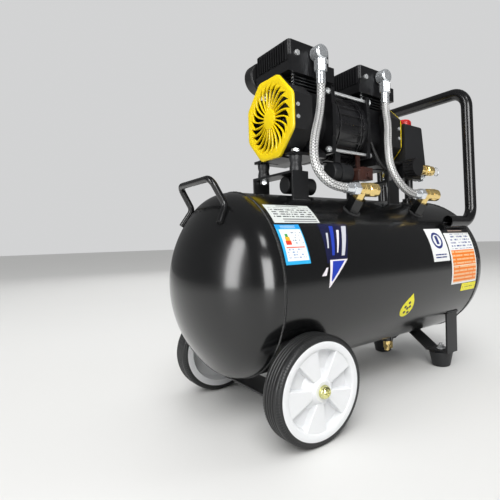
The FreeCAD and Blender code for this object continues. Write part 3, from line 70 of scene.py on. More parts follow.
Piece = bpy.types.Object
Material = bpy.types.Material
NodeTree = bpy.types.NodeTree
Socket = bpy.types.NodeSocket
Point = Sequence[float]
Profile = Sequence[tuple[float, float]]
Corners = Sequence[tuple[str, float, str, float]]


class Side(Enum):
    """The two ends of the pump, or the two sides of the machine."""

    LEFT = -1
    RIGHT = 1

    @property
    def wheel(self) -> str:
        """Name of the wheel on this side."""
        return "near" if self is Side.LEFT else "far"


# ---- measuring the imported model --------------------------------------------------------
@dataclass(frozen=True)
class Span:
    """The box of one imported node."""

    low: Vector
    high: Vector

    @property
    def middle(self) -> Vector:
        """Centre of the box."""
        return (self.low + self.high) / 2

    @property
    def size(self) -> Vector:
        """Lengths of the box's sides."""
        return self.high - self.low


def span_of(node: str) -> Span:
    """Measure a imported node.

    Args:
        node: name of the node.

    Returns:
        Its box.
    """
    low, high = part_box(node)
    return Span(low, high)


def islands(work: bmesh.types.BMesh) -> list[list[bmesh.types.BMFace]]:
    """Find the separate solids of a mesh.

    Args:
        work: the mesh.

    Returns:
        The faces of each solid.
    """
    seen: set[int] = set()
    groups = []
    work.faces.index_update()
    for start in work.faces:
        if start.index in seen:
            continue
        group = [start]
        seen.add(start.index)
        for face in group:
            for edge in face.edges:
                fresh = [other for other in edge.link_faces if other.index not in seen]
                seen.update(other.index for other in fresh)
                group.extend(fresh)
        groups.append(group)
    return groups


def span_round(faces: Iterable[bmesh.types.BMFace]) -> Span:
    """Measure some faces.

    Args:
        faces: faces of one mesh.

    Returns:
        Their box.
    """
    points = [vert.co for face in faces for vert in face.verts]
    low, high = (Vector([pick(places) for places in zip(*points)]) for pick in (min, max))
    return Span(low, high)


def islands_of(node: str) -> list[Span]:
    """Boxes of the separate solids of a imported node, sorted along X, then Y, then Z.

    Args:
        node: name of the node.

    Returns:
        One box for each solid.
    """
    work = bmesh.new()
    work.from_mesh(frame["nodes"][node].data)
    bmesh.ops.remove_doubles(work, verts=work.verts, dist=SAME_POINT)
    spans = [span_round(faces) for faces in islands(work)]
    work.free()
    return sorted(spans, key=lambda span: tuple(round(value, 4) for value in span.middle))


# ---- building meshes -------------------------------------------------------------------
def basis(axis: Vector) -> tuple[Vector, Vector, Vector]:
    """Right-handed directions round an axis.

    Args:
        axis: any direction.

    Returns:
        The axis as a unit vector and two directions square to it.
    """
    along = axis.normalized()
    helper = AXIS_Z if abs(along.z) < 0.9 else AXIS_X
    across = helper.cross(along).normalized()
    return along, across, along.cross(across)


def spoke(across: Vector, up: Vector, angle: float) -> Vector:
    """Unit vector at an angle from one direction towards another."""
    return across * math.cos(angle) + up * math.sin(angle)


def bent(points: Iterable[Point], radius: float, pieces: int = 10) -> list[Vector]:
    """Rigid bar route: straight runs with round corners.

    Args:
        points: corners of the route.
        radius: bend radius of every corner.
        pieces: steps in each corner.

    Returns:
        Points along the route.
    """
    corners = [Vector(point) for point in points]
    route = [corners[0]]
    for before, corner, after in zip(corners, corners[1:], corners[2:]):
        inward = (before - corner).normalized()
        outward = (after - corner).normalized()
        half = (math.pi - inward.angle(outward)) / 2
        reach = radius * math.tan(half)
        centre = corner + (inward + outward).normalized() * math.hypot(radius, reach)
        first = corner + inward * reach - centre
        normal = first.cross(corner + outward * reach - centre).normalized()
        for step in range(pieces + 1):
            turn = Matrix.Rotation(2 * half * step / pieces, 3, normal)
            route.append(centre + turn @ first)
    route.append(corners[-1])
    return route


def section(corners: Corners, along: dict[str, float], reach: dict[str, float]) -> Profile:
    """Work out a section from its table of corners.

    Args:
        corners: a named place along the axis and a step from it, then a named radius and a
            step from that.
        along: the named places.
        reach: the named radii.

    Returns:
        (distance along the axis, radius) points.
    """
    return [(along[place] + shift, reach[ring] + lift) for place, shift, ring, lift in corners]


def frames_along(route: Sequence[Vector]) -> list[tuple[Vector, Vector]]:
    """Directions square to a route, carried along it without a twist.

    Args:
        route: points of the route.

    Returns:
        Two directions for each point.
    """
    first = basis(route[1] - route[0])[1]
    frames = []
    for index in range(len(route)):
        ahead = route[min(index + 1, len(route) - 1)]
        behind = route[max(index - 1, 0)]
        tangent = (ahead - behind).normalized()
        first = (first - tangent * first.dot(tangent)).normalized()
        frames.append((first, tangent.cross(first)))
    return frames


def tube_rings(route: Sequence[Vector], radius: float, sides: int) -> list[list[Vector]]:
    """Rings of points round a route.

    Args:
        route: points of the centre line.
        radius: radius of the rings.
        sides: points of each ring.

    Returns:
        One ring for each point of the route.
    """
    return [[point + spoke(first, second, TURN * step / sides) * radius for step in range(sides)]
            for point, (first, second) in zip(route, frames_along(route))]


class Form:
    """A mesh in the making, put together from simple swept shapes."""

    def __init__(self) -> None:
        """Start empty."""
        self.verts: list[Vector] = []
        self.faces: list[tuple[int, ...]] = []

    def add(self, verts: Iterable[Vector], faces: Iterable[Sequence[int]]) -> "Form":
        """Append loose geometry.

        Args:
            verts: new points.
            faces: faces as indices into the new points.

        Returns:
            The form, as every method that adds to it does, so that calls can be chained.
        """
        base = len(self.verts)
        self.verts.extend(verts)
        self.faces.extend(tuple(base + index for index in face) for face in faces)
        return self

    def loops(self, rings: Sequence[Sequence[Vector]], closed: bool = False) -> "Form":
        """Skin a row of rings, capping the ends unless the row is closed.

        Args:
            rings: equal rings of points.
            closed: join the last ring to the first.

        Returns:
            The form.
        """
        count = len(rings[0])
        faces = []
        last = len(rings) if closed else len(rings) - 1
        for row in range(last):
            low = row * count
            high = (row + 1) % len(rings) * count
            for col in range(count):
                after = (col + 1) % count
                faces.append((low + col, low + after, high + after, high + col))
        if not closed:
            faces.append(tuple(reversed(range(count))))
            faces.append(tuple((len(rings) - 1) * count + col for col in range(count)))
        return self.add([point for ring in rings for point in ring], faces)

    def lathe(self, profile: Profile, origin: Point, axis: Vector, steps: int = 64,
              closed: bool = False) -> "Form":
        """Turn a profile round an axis.

        Args:
            profile: (distance along the axis, radius) points.
            origin: where distance 0 is.
            axis: direction of the axis.
            steps: points round the axis.
            closed: the profile is a loop, such as a ring's section.

        Returns:
            The form.
        """
        along, across, up = basis(axis)
        spokes = [spoke(across, up, TURN * step / steps) for step in range(steps)]
        rings = [[Vector(origin) + along * distance + out * max(radius, SAME_POINT) for out in spokes]
                 for distance, radius in profile]
        return self.loops(rings, closed)

    def block(self, low: Point, high: Point) -> "Form":
        """Rectangular block.

        Args:
            low: lowest corner.
            high: highest corner.

        Returns:
            The form.
        """
        (x0, y0, z0), (x1, y1, z1) = low, high
        outline = ((x0, y0), (x1, y0), (x1, y1), (x0, y1))
        return self.loops([[Vector((x, y, z)) for x, y in outline] for z in (z0, z1)])

    def tube(self, route: Sequence[Vector], radius: float, sides: int) -> "Form":
        """Round bar along a route."""
        return self.loops(tube_rings(route, radius, sides))

    def plain(self, name: str) -> Piece:
        """Turn the form into an unshaded object, such as the first copy of a repeat."""
        return new_object(name, self.mesh(name))

    def mesh(self, name: str) -> bpy.types.Mesh:
        """Turn the collected shapes into a clean mesh.

        Args:
            name: name of the mesh.

        Returns:
            The mesh with merged doubles and outward faces.
        """
        data = bpy.data.meshes.new(name)
        data.from_pydata([tuple(vert) for vert in self.verts], [], self.faces)
        work = bmesh.new()
        work.from_mesh(data)
        bmesh.ops.remove_doubles(work, verts=work.verts, dist=MERGE_REACH)
        bmesh.ops.dissolve_degenerate(work, dist=NO_LENGTH, edges=work.edges)
        bmesh.ops.recalc_face_normals(work, faces=work.faces)
        work.to_mesh(data)
        work.free()
        return data


def new_object(name: str, data: bpy.types.ID) -> Piece:
    """Link a new object into the scene.

    Args:
        name: name of the object.
        data: its mesh, curve, lamp or camera.

    Returns:
        The object, at the origin.
    """
    made = bpy.data.objects.new(name, data)
    bpy.context.scene.collection.objects.link(made)
    return made


def baked(source: Piece) -> Piece:
    """Replace an object by the plain mesh that its modifiers give.

    Args:
        source: object with modifiers, or a curve. It is removed.

    Returns:
        A mesh object of the same name with no modifiers.
    """
    name = source.name
    source.name = name + "_rough"
    bpy.context.view_layer.update()
    graph = bpy.context.evaluated_depsgraph_get()
    data = bpy.data.meshes.new_from_object(source.evaluated_get(graph), depsgraph=graph)
    data.name = name
    bpy.data.objects.remove(source)
    return new_object(name, data)


def smoothed(piece: Piece, angle: float = 32.0) -> Piece:
    """Shade smooth, with sharp edges where faces meet at more than an angle.

    Args:
        piece: mesh object.
        angle: degrees.

    Returns:
        The same object.
    """
    data = piece.data
    data.polygons.foreach_set("use_smooth", [True] * len(data.polygons))
    data.set_sharp_from_angle(angle=math.radians(angle))
    return piece


def finished(piece: Piece, rounding: float = 0.0, segments: int = 2,
             angle: float = EDGE_ANGLE) -> Piece:
    """Round the hard edges of a piece and shade it smooth.

    Args:
        piece: mesh object.
        rounding: width of the rounding, or 0 for none.
        segments: steps of the rounding.
        angle: only edges sharper than this many degrees are rounded.

    Returns:
        A plain mesh object of the same name.
    """
    if not rounding:
        return smoothed(piece)
    bevel = piece.modifiers.new("edge rounding", "BEVEL")
    bevel.width = rounding
    bevel.segments = segments
    bevel.limit_method = "ANGLE"
    bevel.angle_limit = math.radians(angle)
    bevel.use_clamp_overlap = True
    bevel.harden_normals = False
    weight = piece.modifiers.new("flat face shading", "WEIGHTED_NORMAL")
    weight.keep_sharp = True
    piece.data.polygons.foreach_set("use_smooth", [True] * len(piece.data.polygons))
    return smoothed(baked(piece), FACET_ANGLE)


def joined(name: str, pieces: Sequence[Piece]) -> Piece:
    """Make one object of several.

    Args:
        name: name of the result.
        pieces: mesh objects. They are removed.

    Returns:
        The joined object.
    """
    materials: list[Material] = []
    work = bmesh.new()
    for piece in pieces:
        places = []
        for material in piece.data.materials:
            if material not in materials:
                materials.append(material)
            places.append(materials.index(material))
        start = len(work.faces)
        work.from_mesh(piece.data)
        work.faces.ensure_lookup_table()
        for face in work.faces[start:]:
            face.material_index = places[face.material_index] if places else 0
    data = bpy.data.meshes.new(name)
    work.to_mesh(data)
    work.free()
    for material in materials:
        data.materials.append(material)
    for piece in pieces:
        bpy.data.objects.remove(piece)
    return new_object(name, data)


def copy_of(node: str, name: str, rounding: float = 0.0, segments: int = 2) -> Piece:
    """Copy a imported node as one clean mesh, with its hard edges rounded.

    Args:
        node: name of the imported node.
        name: name of the new piece.
        rounding: width of the edge rounding, or 0 for none.
        segments: steps of the rounding.

    Returns:
        A new mesh object.
    """
    data = frame["nodes"][node].data.copy()
    data.name = name
    data.materials.clear()
    work = bmesh.new()
    work.from_mesh(data)
    bmesh.ops.remove_doubles(work, verts=work.verts, dist=SAME_POINT)
    bmesh.ops.dissolve_limit(work, angle_limit=FLAT_ANGLE, verts=work.verts,
                             edges=work.edges)
    bmesh.ops.recalc_face_normals(work, faces=work.faces)
    work.to_mesh(data)
    work.free()
    data.polygons.foreach_set("material_index", [0] * len(data.polygons))
    if "sharp_edge" in data.attributes:
        data.attributes.remove(data.attributes["sharp_edge"])
    return finished(new_object(name, data), rounding, segments)


# ---- node trees ------------------------------------------------------------------------
GEOMETRY = "NodeSocketGeometry"
MATERIAL = "NodeSocketMaterial"
FLOAT = "NodeSocketFloat"
COLOUR = "NodeSocketColor"


def socket_type(value: object) -> str:
    """Find the socket type that suits a starting value.

    Args:
        value: a tuple of three or four numbers, a whole number or a number.

    Returns:
        The socket type.
    """
    if isinstance(value, tuple):
        return "NodeSocketVector" if len(value) == 3 else COLOUR
    return "NodeSocketInt" if isinstance(value, int) else FLOAT


class Tree:
    """Short ways to add and link the nodes of one node tree."""

    def __init__(self, tree: NodeTree) -> None:
        """Work on a tree."""
        self.tree = tree

    @classmethod
    def group(cls, name: str, kind: str, inputs: dict[str, object],
              outputs: dict[str, str]) -> tuple["Tree", bpy.types.NodeOutputs]:
        """Start a node group.

        Args:
            name: name of the group.
            kind: GeometryNodeTree or ShaderNodeTree.
            inputs: a starting value for each input, or its socket type as text.
            outputs: socket type of each output.

        Returns:
            The tree and what the group is given.
        """
        made = bpy.data.node_groups.new(name, kind)
        for way, sockets in (("INPUT", inputs), ("OUTPUT", outputs)):
            for label, value in sockets.items():
                typed = isinstance(value, str)
                socket = made.interface.new_socket(
                    label, in_out=way, socket_type=value if typed else socket_type(value))
                if not typed:
                    socket.default_value = value
        tree = cls(made)
        return tree, tree.node("NodeGroupInput").outputs

    def wire(self, node: bpy.types.Node, **inputs: object) -> None:
        """Set or link a node's inputs.

        Args:
            node: the node.
            inputs: values or sockets, named with underscores for spaces; a name such as i0
                means the input's position.
        """
        for name, value in inputs.items():
            place = int(name[1:]) if name[0] == "i" and name[1:].isdigit() else name.replace("_", " ")
            target = node.inputs[place]
            if isinstance(value, Socket):
                self.tree.links.new(value, target)
            elif target.type == "RGBA":
                target.default_value = (*value[:3], 1.0)
            else:
                target.default_value = value

    def node(self, kind: str, settings: dict[str, object] | None = None,
             **inputs: object) -> bpy.types.Node:
        """Add a node.

        Args:
            kind: node type.
            settings: properties of the node.
            inputs: values or sockets for its inputs, as wire takes them.

        Returns:
            The node.
        """
        made = self.tree.nodes.new(kind)
        for name, value in (settings or {}).items():
            setattr(made, name, value)
        self.wire(made, **inputs)
        return made

    def out(self, kind: str, settings: dict[str, object] | None = None, **inputs: object) -> Socket:
        """Add a node and give its first output."""
        return self.node(kind, settings, **inputs).outputs[0]

    def maths(self, operation: str, *values: object, clamp: bool = False) -> Socket:
        """Work out a number from values or sockets."""
        inputs = {f"i{index}": value for index, value in enumerate(values)}
        return self.out("ShaderNodeMath", {"operation": operation, "use_clamp": clamp}, **inputs)

    def waves(self, value: object, turn: float) -> Socket:
        """Sine of a value that is first multiplied by an angle."""
        return self.maths("SINE", self.maths("MULTIPLY", value, turn))

    def mix(self, factor: object, under: object, over: object) -> Socket:
        """Lay a colour over another as far as a factor says."""
        return self.node("ShaderNodeMix", {"data_type": "RGBA"}, i0=factor, i6=under,
                         i7=over).outputs[2]

    def noise(self, place: Socket, scale: object, detail: float, roughness: float = 0.5) -> Socket:
        """Noise at a place."""
        return self.out("ShaderNodeTexNoise", Vector=place, Scale=scale, Detail=detail,
                        Roughness=roughness)

    def ranged(self, value: object, **ends: float) -> Socket:
        """Carry a value from one range to another."""
        return self.out("ShaderNodeMapRange", Value=value, **ends)

    def object_place(self) -> Socket:
        """Object coordinates."""
        return self.node("ShaderNodeTexCoord").outputs["Object"]


def repeat_tree() -> NodeTree:
    """Make the tree that repeats a shape by turning it step by step.

    Returns:
        The tree.
    """
    tree, given = Tree.group("stepped_repeat", "GeometryNodeTree", {
        "Geometry": GEOMETRY, "Count": 1, "Turn": 0.0, "Axis": (1.0, 0.0, 0.0),
        "Pivot": (0.0, 0.0, 0.0), "Material": MATERIAL}, {"Geometry": GEOMETRY})
    points = tree.out("GeometryNodePoints", Count=given["Count"])
    placed = tree.out("GeometryNodeInstanceOnPoints", Points=points, Instance=given["Geometry"])
    angle = tree.maths("MULTIPLY", tree.out("GeometryNodeInputIndex"), given["Turn"])
    turn = tree.out("FunctionNodeAxisAngleToRotation", Axis=given["Axis"], Angle=angle)
    turned = tree.out("GeometryNodeRotateInstances", Instances=placed, Rotation=turn,
                      Pivot_Point=given["Pivot"], Local_Space=False)
    real = tree.out("GeometryNodeRealizeInstances", Geometry=turned)
    tree.node("NodeGroupOutput", i0=tree.out("GeometryNodeSetMaterial", Geometry=real,
                                             Material=given["Material"]))
    return tree.tree


def weld_tree() -> NodeTree:
    """Make the tree that lays overlapping weld ripples, each a little different, along a curve.

    Returns:
        The tree.
    """
    tree, given = Tree.group("weld_ripples", "GeometryNodeTree", {
        "Geometry": GEOMETRY, "Spacing": 0.0025, "Bead": (0.003, 0.003, 0.002), "Seed": 1,
        "Smallest": 0.88, "Largest": 1.1, "Material": MATERIAL}, {"Geometry": GEOMETRY})
    points = tree.node("GeometryNodeCurveToPoints", {"mode": "LENGTH"}, Curve=given["Geometry"],
                       Length=given["Spacing"]).outputs
    ball = tree.out("GeometryNodeMeshIcoSphere", Radius=1.0, Subdivisions=2)
    vary = tree.node("FunctionNodeRandomValue", {"data_type": "FLOAT"}, Seed=given["Seed"],
                     i2=given["Smallest"], i3=given["Largest"]).outputs[1]
    size = tree.out("ShaderNodeVectorMath", {"operation": "SCALE"}, i0=given["Bead"], Scale=vary)
    placed = tree.out("GeometryNodeInstanceOnPoints", Points=points[0], Instance=ball,
                      Rotation=points["Rotation"], Scale=size)
    real = tree.out("GeometryNodeRealizeInstances", Geometry=placed)
    smooth = tree.out("GeometryNodeSetShadeSmooth", Geometry=real)
    tree.node("NodeGroupOutput", i0=tree.out("GeometryNodeSetMaterial", Geometry=smooth,
                                             Material=given["Material"]))
    return tree.tree


class Repeater:
    """Runs the geometry node trees on shapes and keeps the plain meshes they give."""

    def __init__(self) -> None:
        """Build the trees once."""
        self.stepped = repeat_tree()
        self.ripples = weld_tree()

    @staticmethod
    def run(piece: Piece, tree: NodeTree, values: dict[str, object]) -> Piece:
        """Put a tree on an object and bake it.

        Args:
            piece: object that gives the tree its geometry.
            tree: the geometry node tree.
            values: the tree's named inputs.

        Returns:
            A plain mesh object of the same name.
        """
        modifier = piece.modifiers.new("nodes", "NODES")
        modifier.node_group = tree
        names = {item.name: item.identifier for item in tree.interface.items_tree
                 if item.item_type == "SOCKET" and item.in_out == "INPUT"}
        for key, value in values.items():
            modifier[names[key]] = value
        return baked(piece)

    def round_axis(self, piece: Piece, count: int, axis: Vector, pivot: Point,
                   material: Material, turn: float | None = None) -> Piece:
        """Repeat a shape round an axis.

        Args:
            piece: the first copy, in place.
            count: number of copies.
            axis: the axis's direction.
            pivot: a point of the axis.
            material: material of every copy.
            turn: angle from copy to copy, or None for a full ring.

        Returns:
            A plain mesh object.
        """
        return self.run(piece, self.stepped, {
            "Count": count, "Turn": TURN / count if turn is None else turn, "Axis": tuple(axis),
            "Pivot": tuple(pivot), "Material": material})

    def weld(self, name: str, runs: Sequence[Sequence[Point]], bead: Point, spacing: float,
             material: Material, closed: bool = False) -> Piece:
        """Lay weld beads along several runs.

        Args:
            name: name of the result.
            runs: points of each run.
            bead: half sizes of one ripple: across, up and along the run.
            spacing: distance from ripple to ripple.
            material: material of the bead.
            closed: each run closes on itself.

        Returns:
            A plain mesh object.
        """
        curve = bpy.data.curves.new(name, "CURVE")
        curve.dimensions = "3D"
        for run in runs:
            spline = curve.splines.new("POLY")
            spline.points.add(len(run) - 1)
            for point, place in zip(spline.points, run):
                point.co = (*place, 1.0)
            spline.use_cyclic_u = closed
        return self.run(new_object(name, curve), self.ripples, {
            "Spacing": spacing, "Bead": tuple(bead), "Seed": len(name), "Material": material})


# ---- finishes --------------------------------------------------------------------------
Colour = tuple[float, float, float]
DUST_COLOUR: Colour = (0.30, 0.28, 0.25)
GREY = (0.5, 0.5, 0.5, 1.0)


def surface_group() -> NodeTree:
    """Make the shader group for the small unevenness and the dust of every plain finish.

    Returns:
        The group, with outputs Colour, Roughness and Height.
    """
    tree, given = Tree.group("worn_surface", "ShaderNodeTree", {
        "Colour": GREY, "Second Colour": GREY, "Blotch Scale": 20.0, "Blotch": 0.3,
        "Roughness": 0.4, "Roughness Spread": 0.1, "Grain Scale": 900.0, "Dust": 0.1},
        {"Colour": COLOUR, "Roughness": FLOAT, "Height": FLOAT})
    place = tree.object_place()
    blotch = tree.noise(place, given["Blotch Scale"], 4.0, 0.6)
    grain = tree.noise(place, given["Grain Scale"], 2.0)
    base = tree.mix(tree.maths("MULTIPLY", blotch, given["Blotch"]), given["Colour"],
                    given["Second Colour"])
    facing = tree.node("ShaderNodeNewGeometry").outputs["Normal"]
    upward = tree.node("ShaderNodeSeparateXYZ", Vector=facing).outputs["Z"]
    lying = tree.ranged(upward, From_Min=0.35, From_Max=1.0)
    settled = tree.ranged(blotch, From_Min=0.4, From_Max=0.7)
    dust = tree.maths("MULTIPLY", tree.maths("MULTIPLY", lying, settled), given["Dust"])
    spread = tree.maths("MULTIPLY_ADD", tree.maths("SUBTRACT", blotch, 0.5),
                        given["Roughness Spread"], given["Roughness"])
    duller = tree.maths("MULTIPLY_ADD", dust, 0.5, spread, clamp=True)
    tree.node("NodeGroupOutput", i0=tree.mix(dust, base, DUST_COLOUR), i1=duller, i2=grain)
    return tree.tree


def rows_group() -> NodeTree:
    """Make the shader group for rows of dashes, the generic stand-in for printed words.

    Returns:
        The group, with the output Ink, 1 on a dash.
    """
    tree, given = Tree.group("printed_rows", "ShaderNodeTree", {
        "Across": 0.0, "Up": 0.0, "Rows": 6.0, "Words": 12.0, "Fill": 0.45}, {"Ink": FLOAT})
    lines = tree.maths("MULTIPLY", given["Up"], given["Rows"])
    on_line = tree.maths("COMPARE", tree.maths("FRACT", lines), 0.5, 0.24)
    place = tree.out("ShaderNodeCombineXYZ", X=tree.maths("MULTIPLY", given["Across"], given["Words"]),
                     Y=tree.maths("FLOOR", lines))
    dash = tree.maths("GREATER_THAN", tree.noise(place, 1.0, 3.0, 0.8), given["Fill"])
    tree.node("NodeGroupOutput", i0=tree.maths("MULTIPLY", dash, on_line))
    return tree.tree


class Paintbox:
    """Makes every material once and hands it out."""

    def __init__(self) -> None:
        """Build the shared shader groups."""
        self.surface = surface_group()
        self.rows = rows_group()
        self.made: dict[str, Material] = {}

    def paint(self, finish: "Painted") -> Material:
        """Get a finish as a material, made on first use.

        Args:
            finish: the finish.

        Returns:
            Its material.
        """
        if finish.name not in self.made:
            material = bpy.data.materials.new(finish.name)
            material.use_nodes = True
            tree = Tree(material.node_tree)
            tree.wire(tree.tree.nodes["Principled BSDF"], **finish.shader_inputs(tree, self))
            self.made[finish.name] = material
        return self.made[finish.name]


@dataclass(frozen=True)
class Painted:
    """What every finish has: a name, and a way to feed the shader."""

    name: str

    def shader_inputs(self, tree: Tree, box: Paintbox) -> dict[str, object]:
        """Values and sockets for the Principled shader's inputs.

        Args:
            tree: the material's node tree.
            box: the paint box, for its shared groups.

        Returns:
            The inputs by name.
        """
        raise NotImplementedError


@dataclass(frozen=True)
class Finish(Painted):
    """One plain finish: its colour, gloss, grain and dust."""

    colour: Colour
    second: Colour
    roughness: float
    metallic: float = 0.0
    blotch: float = 0.4
    blotch_scale: float = 25.0
    spread: float = 0.12
    grain_scale: float = 1500.0
    grain_depth: float = 0.00002
    grain_strength: float = 0.3
    dust: float = 0.12
    coat: float = 0.0
    coat_roughness: float = 0.08

    def shader_inputs(self, tree: Tree, box: Paintbox) -> dict[str, object]:
        """Feed the shader from the shared worn surface.

        Args:
            tree: the material's node tree.
            box: the paint box.

        Returns:
            The inputs by name.
        """
        worn = tree.node("ShaderNodeGroup", {"node_tree": box.surface}, Colour=self.colour,
                         Second_Colour=self.second, Blotch_Scale=self.blotch_scale,
                         Blotch=self.blotch, Roughness=self.roughness, Roughness_Spread=self.spread,
                         Grain_Scale=self.grain_scale, Dust=self.dust).outputs
        bump = tree.out("ShaderNodeBump", Strength=self.grain_strength, Distance=self.grain_depth,
                        Height=worn["Height"])
        return {"Base_Color": worn["Colour"], "Roughness": worn["Roughness"], "Normal": bump,
                "Metallic": self.metallic, "Coat_Weight": self.coat,
                "Coat_Roughness": self.coat_roughness}


ENAMEL = Finish("tank_enamel", (0.0040, 0.0042, 0.0045), (0.0070, 0.0073, 0.0078), 0.20, spread=0.05,
                blotch_scale=6.0, grain_scale=260.0, grain_depth=0.00006, grain_strength=0.10,
                dust=0.008, coat=0.35, coat_roughness=0.12)
BAR_PAINT = Finish("bar_enamel", (0.0045, 0.0045, 0.005), (0.008, 0.008, 0.009), 0.24, spread=0.02,
                   blotch_scale=6.0, grain_scale=60.0, grain_depth=0.000002, grain_strength=0.02,
                   dust=0.004, coat=0.2, coat_roughness=0.15)
BRACKET_PAINT = Finish("bracket_paint", (0.008, 0.0085, 0.0095), (0.014, 0.0145, 0.016), 0.38,
                       grain_scale=900.0, grain_depth=0.00004, dust=0.04)
CASTING = Finish("casting_paint", (0.0045, 0.0046, 0.0054), (0.009, 0.009, 0.0105), 0.36,
                 blotch_scale=60.0, grain_scale=1300.0, grain_depth=0.00009, grain_strength=0.35,
                 dust=0.02)
MOTOR_PAINT = Finish("motor_paint", (0.0065, 0.0065, 0.0075), (0.012, 0.012, 0.014), 0.28,
                     blotch_scale=40.0, grain_scale=700.0, grain_depth=0.00004, dust=0.03, coat=0.2)
COWL_PLASTIC = Finish("cowl_plastic", (0.0070, 0.0070, 0.0078), (0.012, 0.012, 0.013), 0.44,
                      grain_scale=2200.0, grain_depth=0.00003, dust=0.03)
SWITCH_PLASTIC = Finish("switch_plastic", (0.009, 0.0095, 0.011), (0.014, 0.015, 0.017), 0.50,
                        grain_scale=2500.0, grain_depth=0.00003, dust=0.02)
YELLOW_PLASTIC = Finish("grille_plastic", (0.93, 0.70, 0.0), (0.90, 0.60, 0.0), 0.34,
                        blotch=0.5, blotch_scale=18.0, grain_scale=1800.0, dust=0.0, coat=0.15)
WHITE_PLASTIC = Finish("rim_plastic", (0.80, 0.81, 0.82), (0.72, 0.73, 0.75), 0.34, blotch=0.4,
                       blotch_scale=14.0, grain_scale=1600.0, dust=0.02, coat=0.1)
RED_PLASTIC = Finish("knob_plastic", (0.55, 0.015, 0.012), (0.42, 0.01, 0.01), 0.34, dust=0.05)
TREAD_RUBBER = Finish("tyre_rubber", (0.009, 0.0095, 0.010), (0.015, 0.0155, 0.016), 0.40,
                      blotch_scale=40.0, grain_scale=1400.0, grain_depth=0.00003,
                      grain_strength=0.25, dust=0.04)
MOUNT_RUBBER = Finish("mount_rubber", (0.011, 0.0115, 0.013), (0.018, 0.019, 0.021), 0.46,
                      grain_scale=1500.0, dust=0.03)
LEAD_SHEATH = Finish("lead_sheath", (0.012, 0.012, 0.012), (0.022, 0.022, 0.022), 0.45, dust=0.05)
BRIGHT_ZINC = Finish("bright_zinc", (0.86, 0.88, 0.89), (0.78, 0.80, 0.81), 0.24, metallic=0.7,
                     blotch=0.25, blotch_scale=60.0, spread=0.08, dust=0.02)
YELLOW_ZINC = Finish("yellow_zinc", (0.80, 0.76, 0.32), (0.62, 0.66, 0.42), 0.20, metallic=0.95,
                     blotch=0.5, blotch_scale=90.0, spread=0.1, dust=0.02)
BRASS = Finish("turned_brass", (0.90, 0.68, 0.28), (0.82, 0.58, 0.20), 0.18, metallic=0.85,
               blotch=0.3, blotch_scale=60.0, spread=0.08, dust=0.01)
NICKEL = Finish("nickel_plate", (0.84, 0.87, 0.90), (0.76, 0.79, 0.82), 0.18, metallic=0.8,
                blotch=0.25, blotch_scale=60.0, spread=0.08, dust=0.01)
CAST_ALLOY = Finish("cast_alloy", (0.60, 0.61, 0.62), (0.44, 0.45, 0.46), 0.42, metallic=1.0,
                    blotch_scale=80.0, grain_scale=1200.0, grain_depth=0.0001)
CAST_IRON = Finish("cast_iron", (0.14, 0.14, 0.14), (0.09, 0.09, 0.09), 0.55, metallic=0.7,
                   grain_scale=1500.0, grain_depth=0.0001)
CORE_STEEL = Finish("core_steel", (0.30, 0.30, 0.31), (0.20, 0.20, 0.21), 0.48, metallic=0.9,
                    blotch_scale=200.0)
COPPER = Finish("winding_copper", (0.62, 0.26, 0.10), (0.48, 0.17, 0.06), 0.35, metallic=0.9,
                blotch_scale=200.0, grain_scale=900.0, grain_depth=0.0003, grain_strength=0.8)
BROWN_BLOCK = Finish("brown_moulding", (0.050, 0.017, 0.012), (0.034, 0.012, 0.009), 0.42)
WHITE_PAPER = Finish("dial_card", (0.85, 0.85, 0.83), (0.80, 0.80, 0.78), 0.5, dust=0.0)
PAPER_INK = Finish("dial_ink", (0.02, 0.02, 0.02), (0.03, 0.03, 0.03), 0.5, dust=0.0)

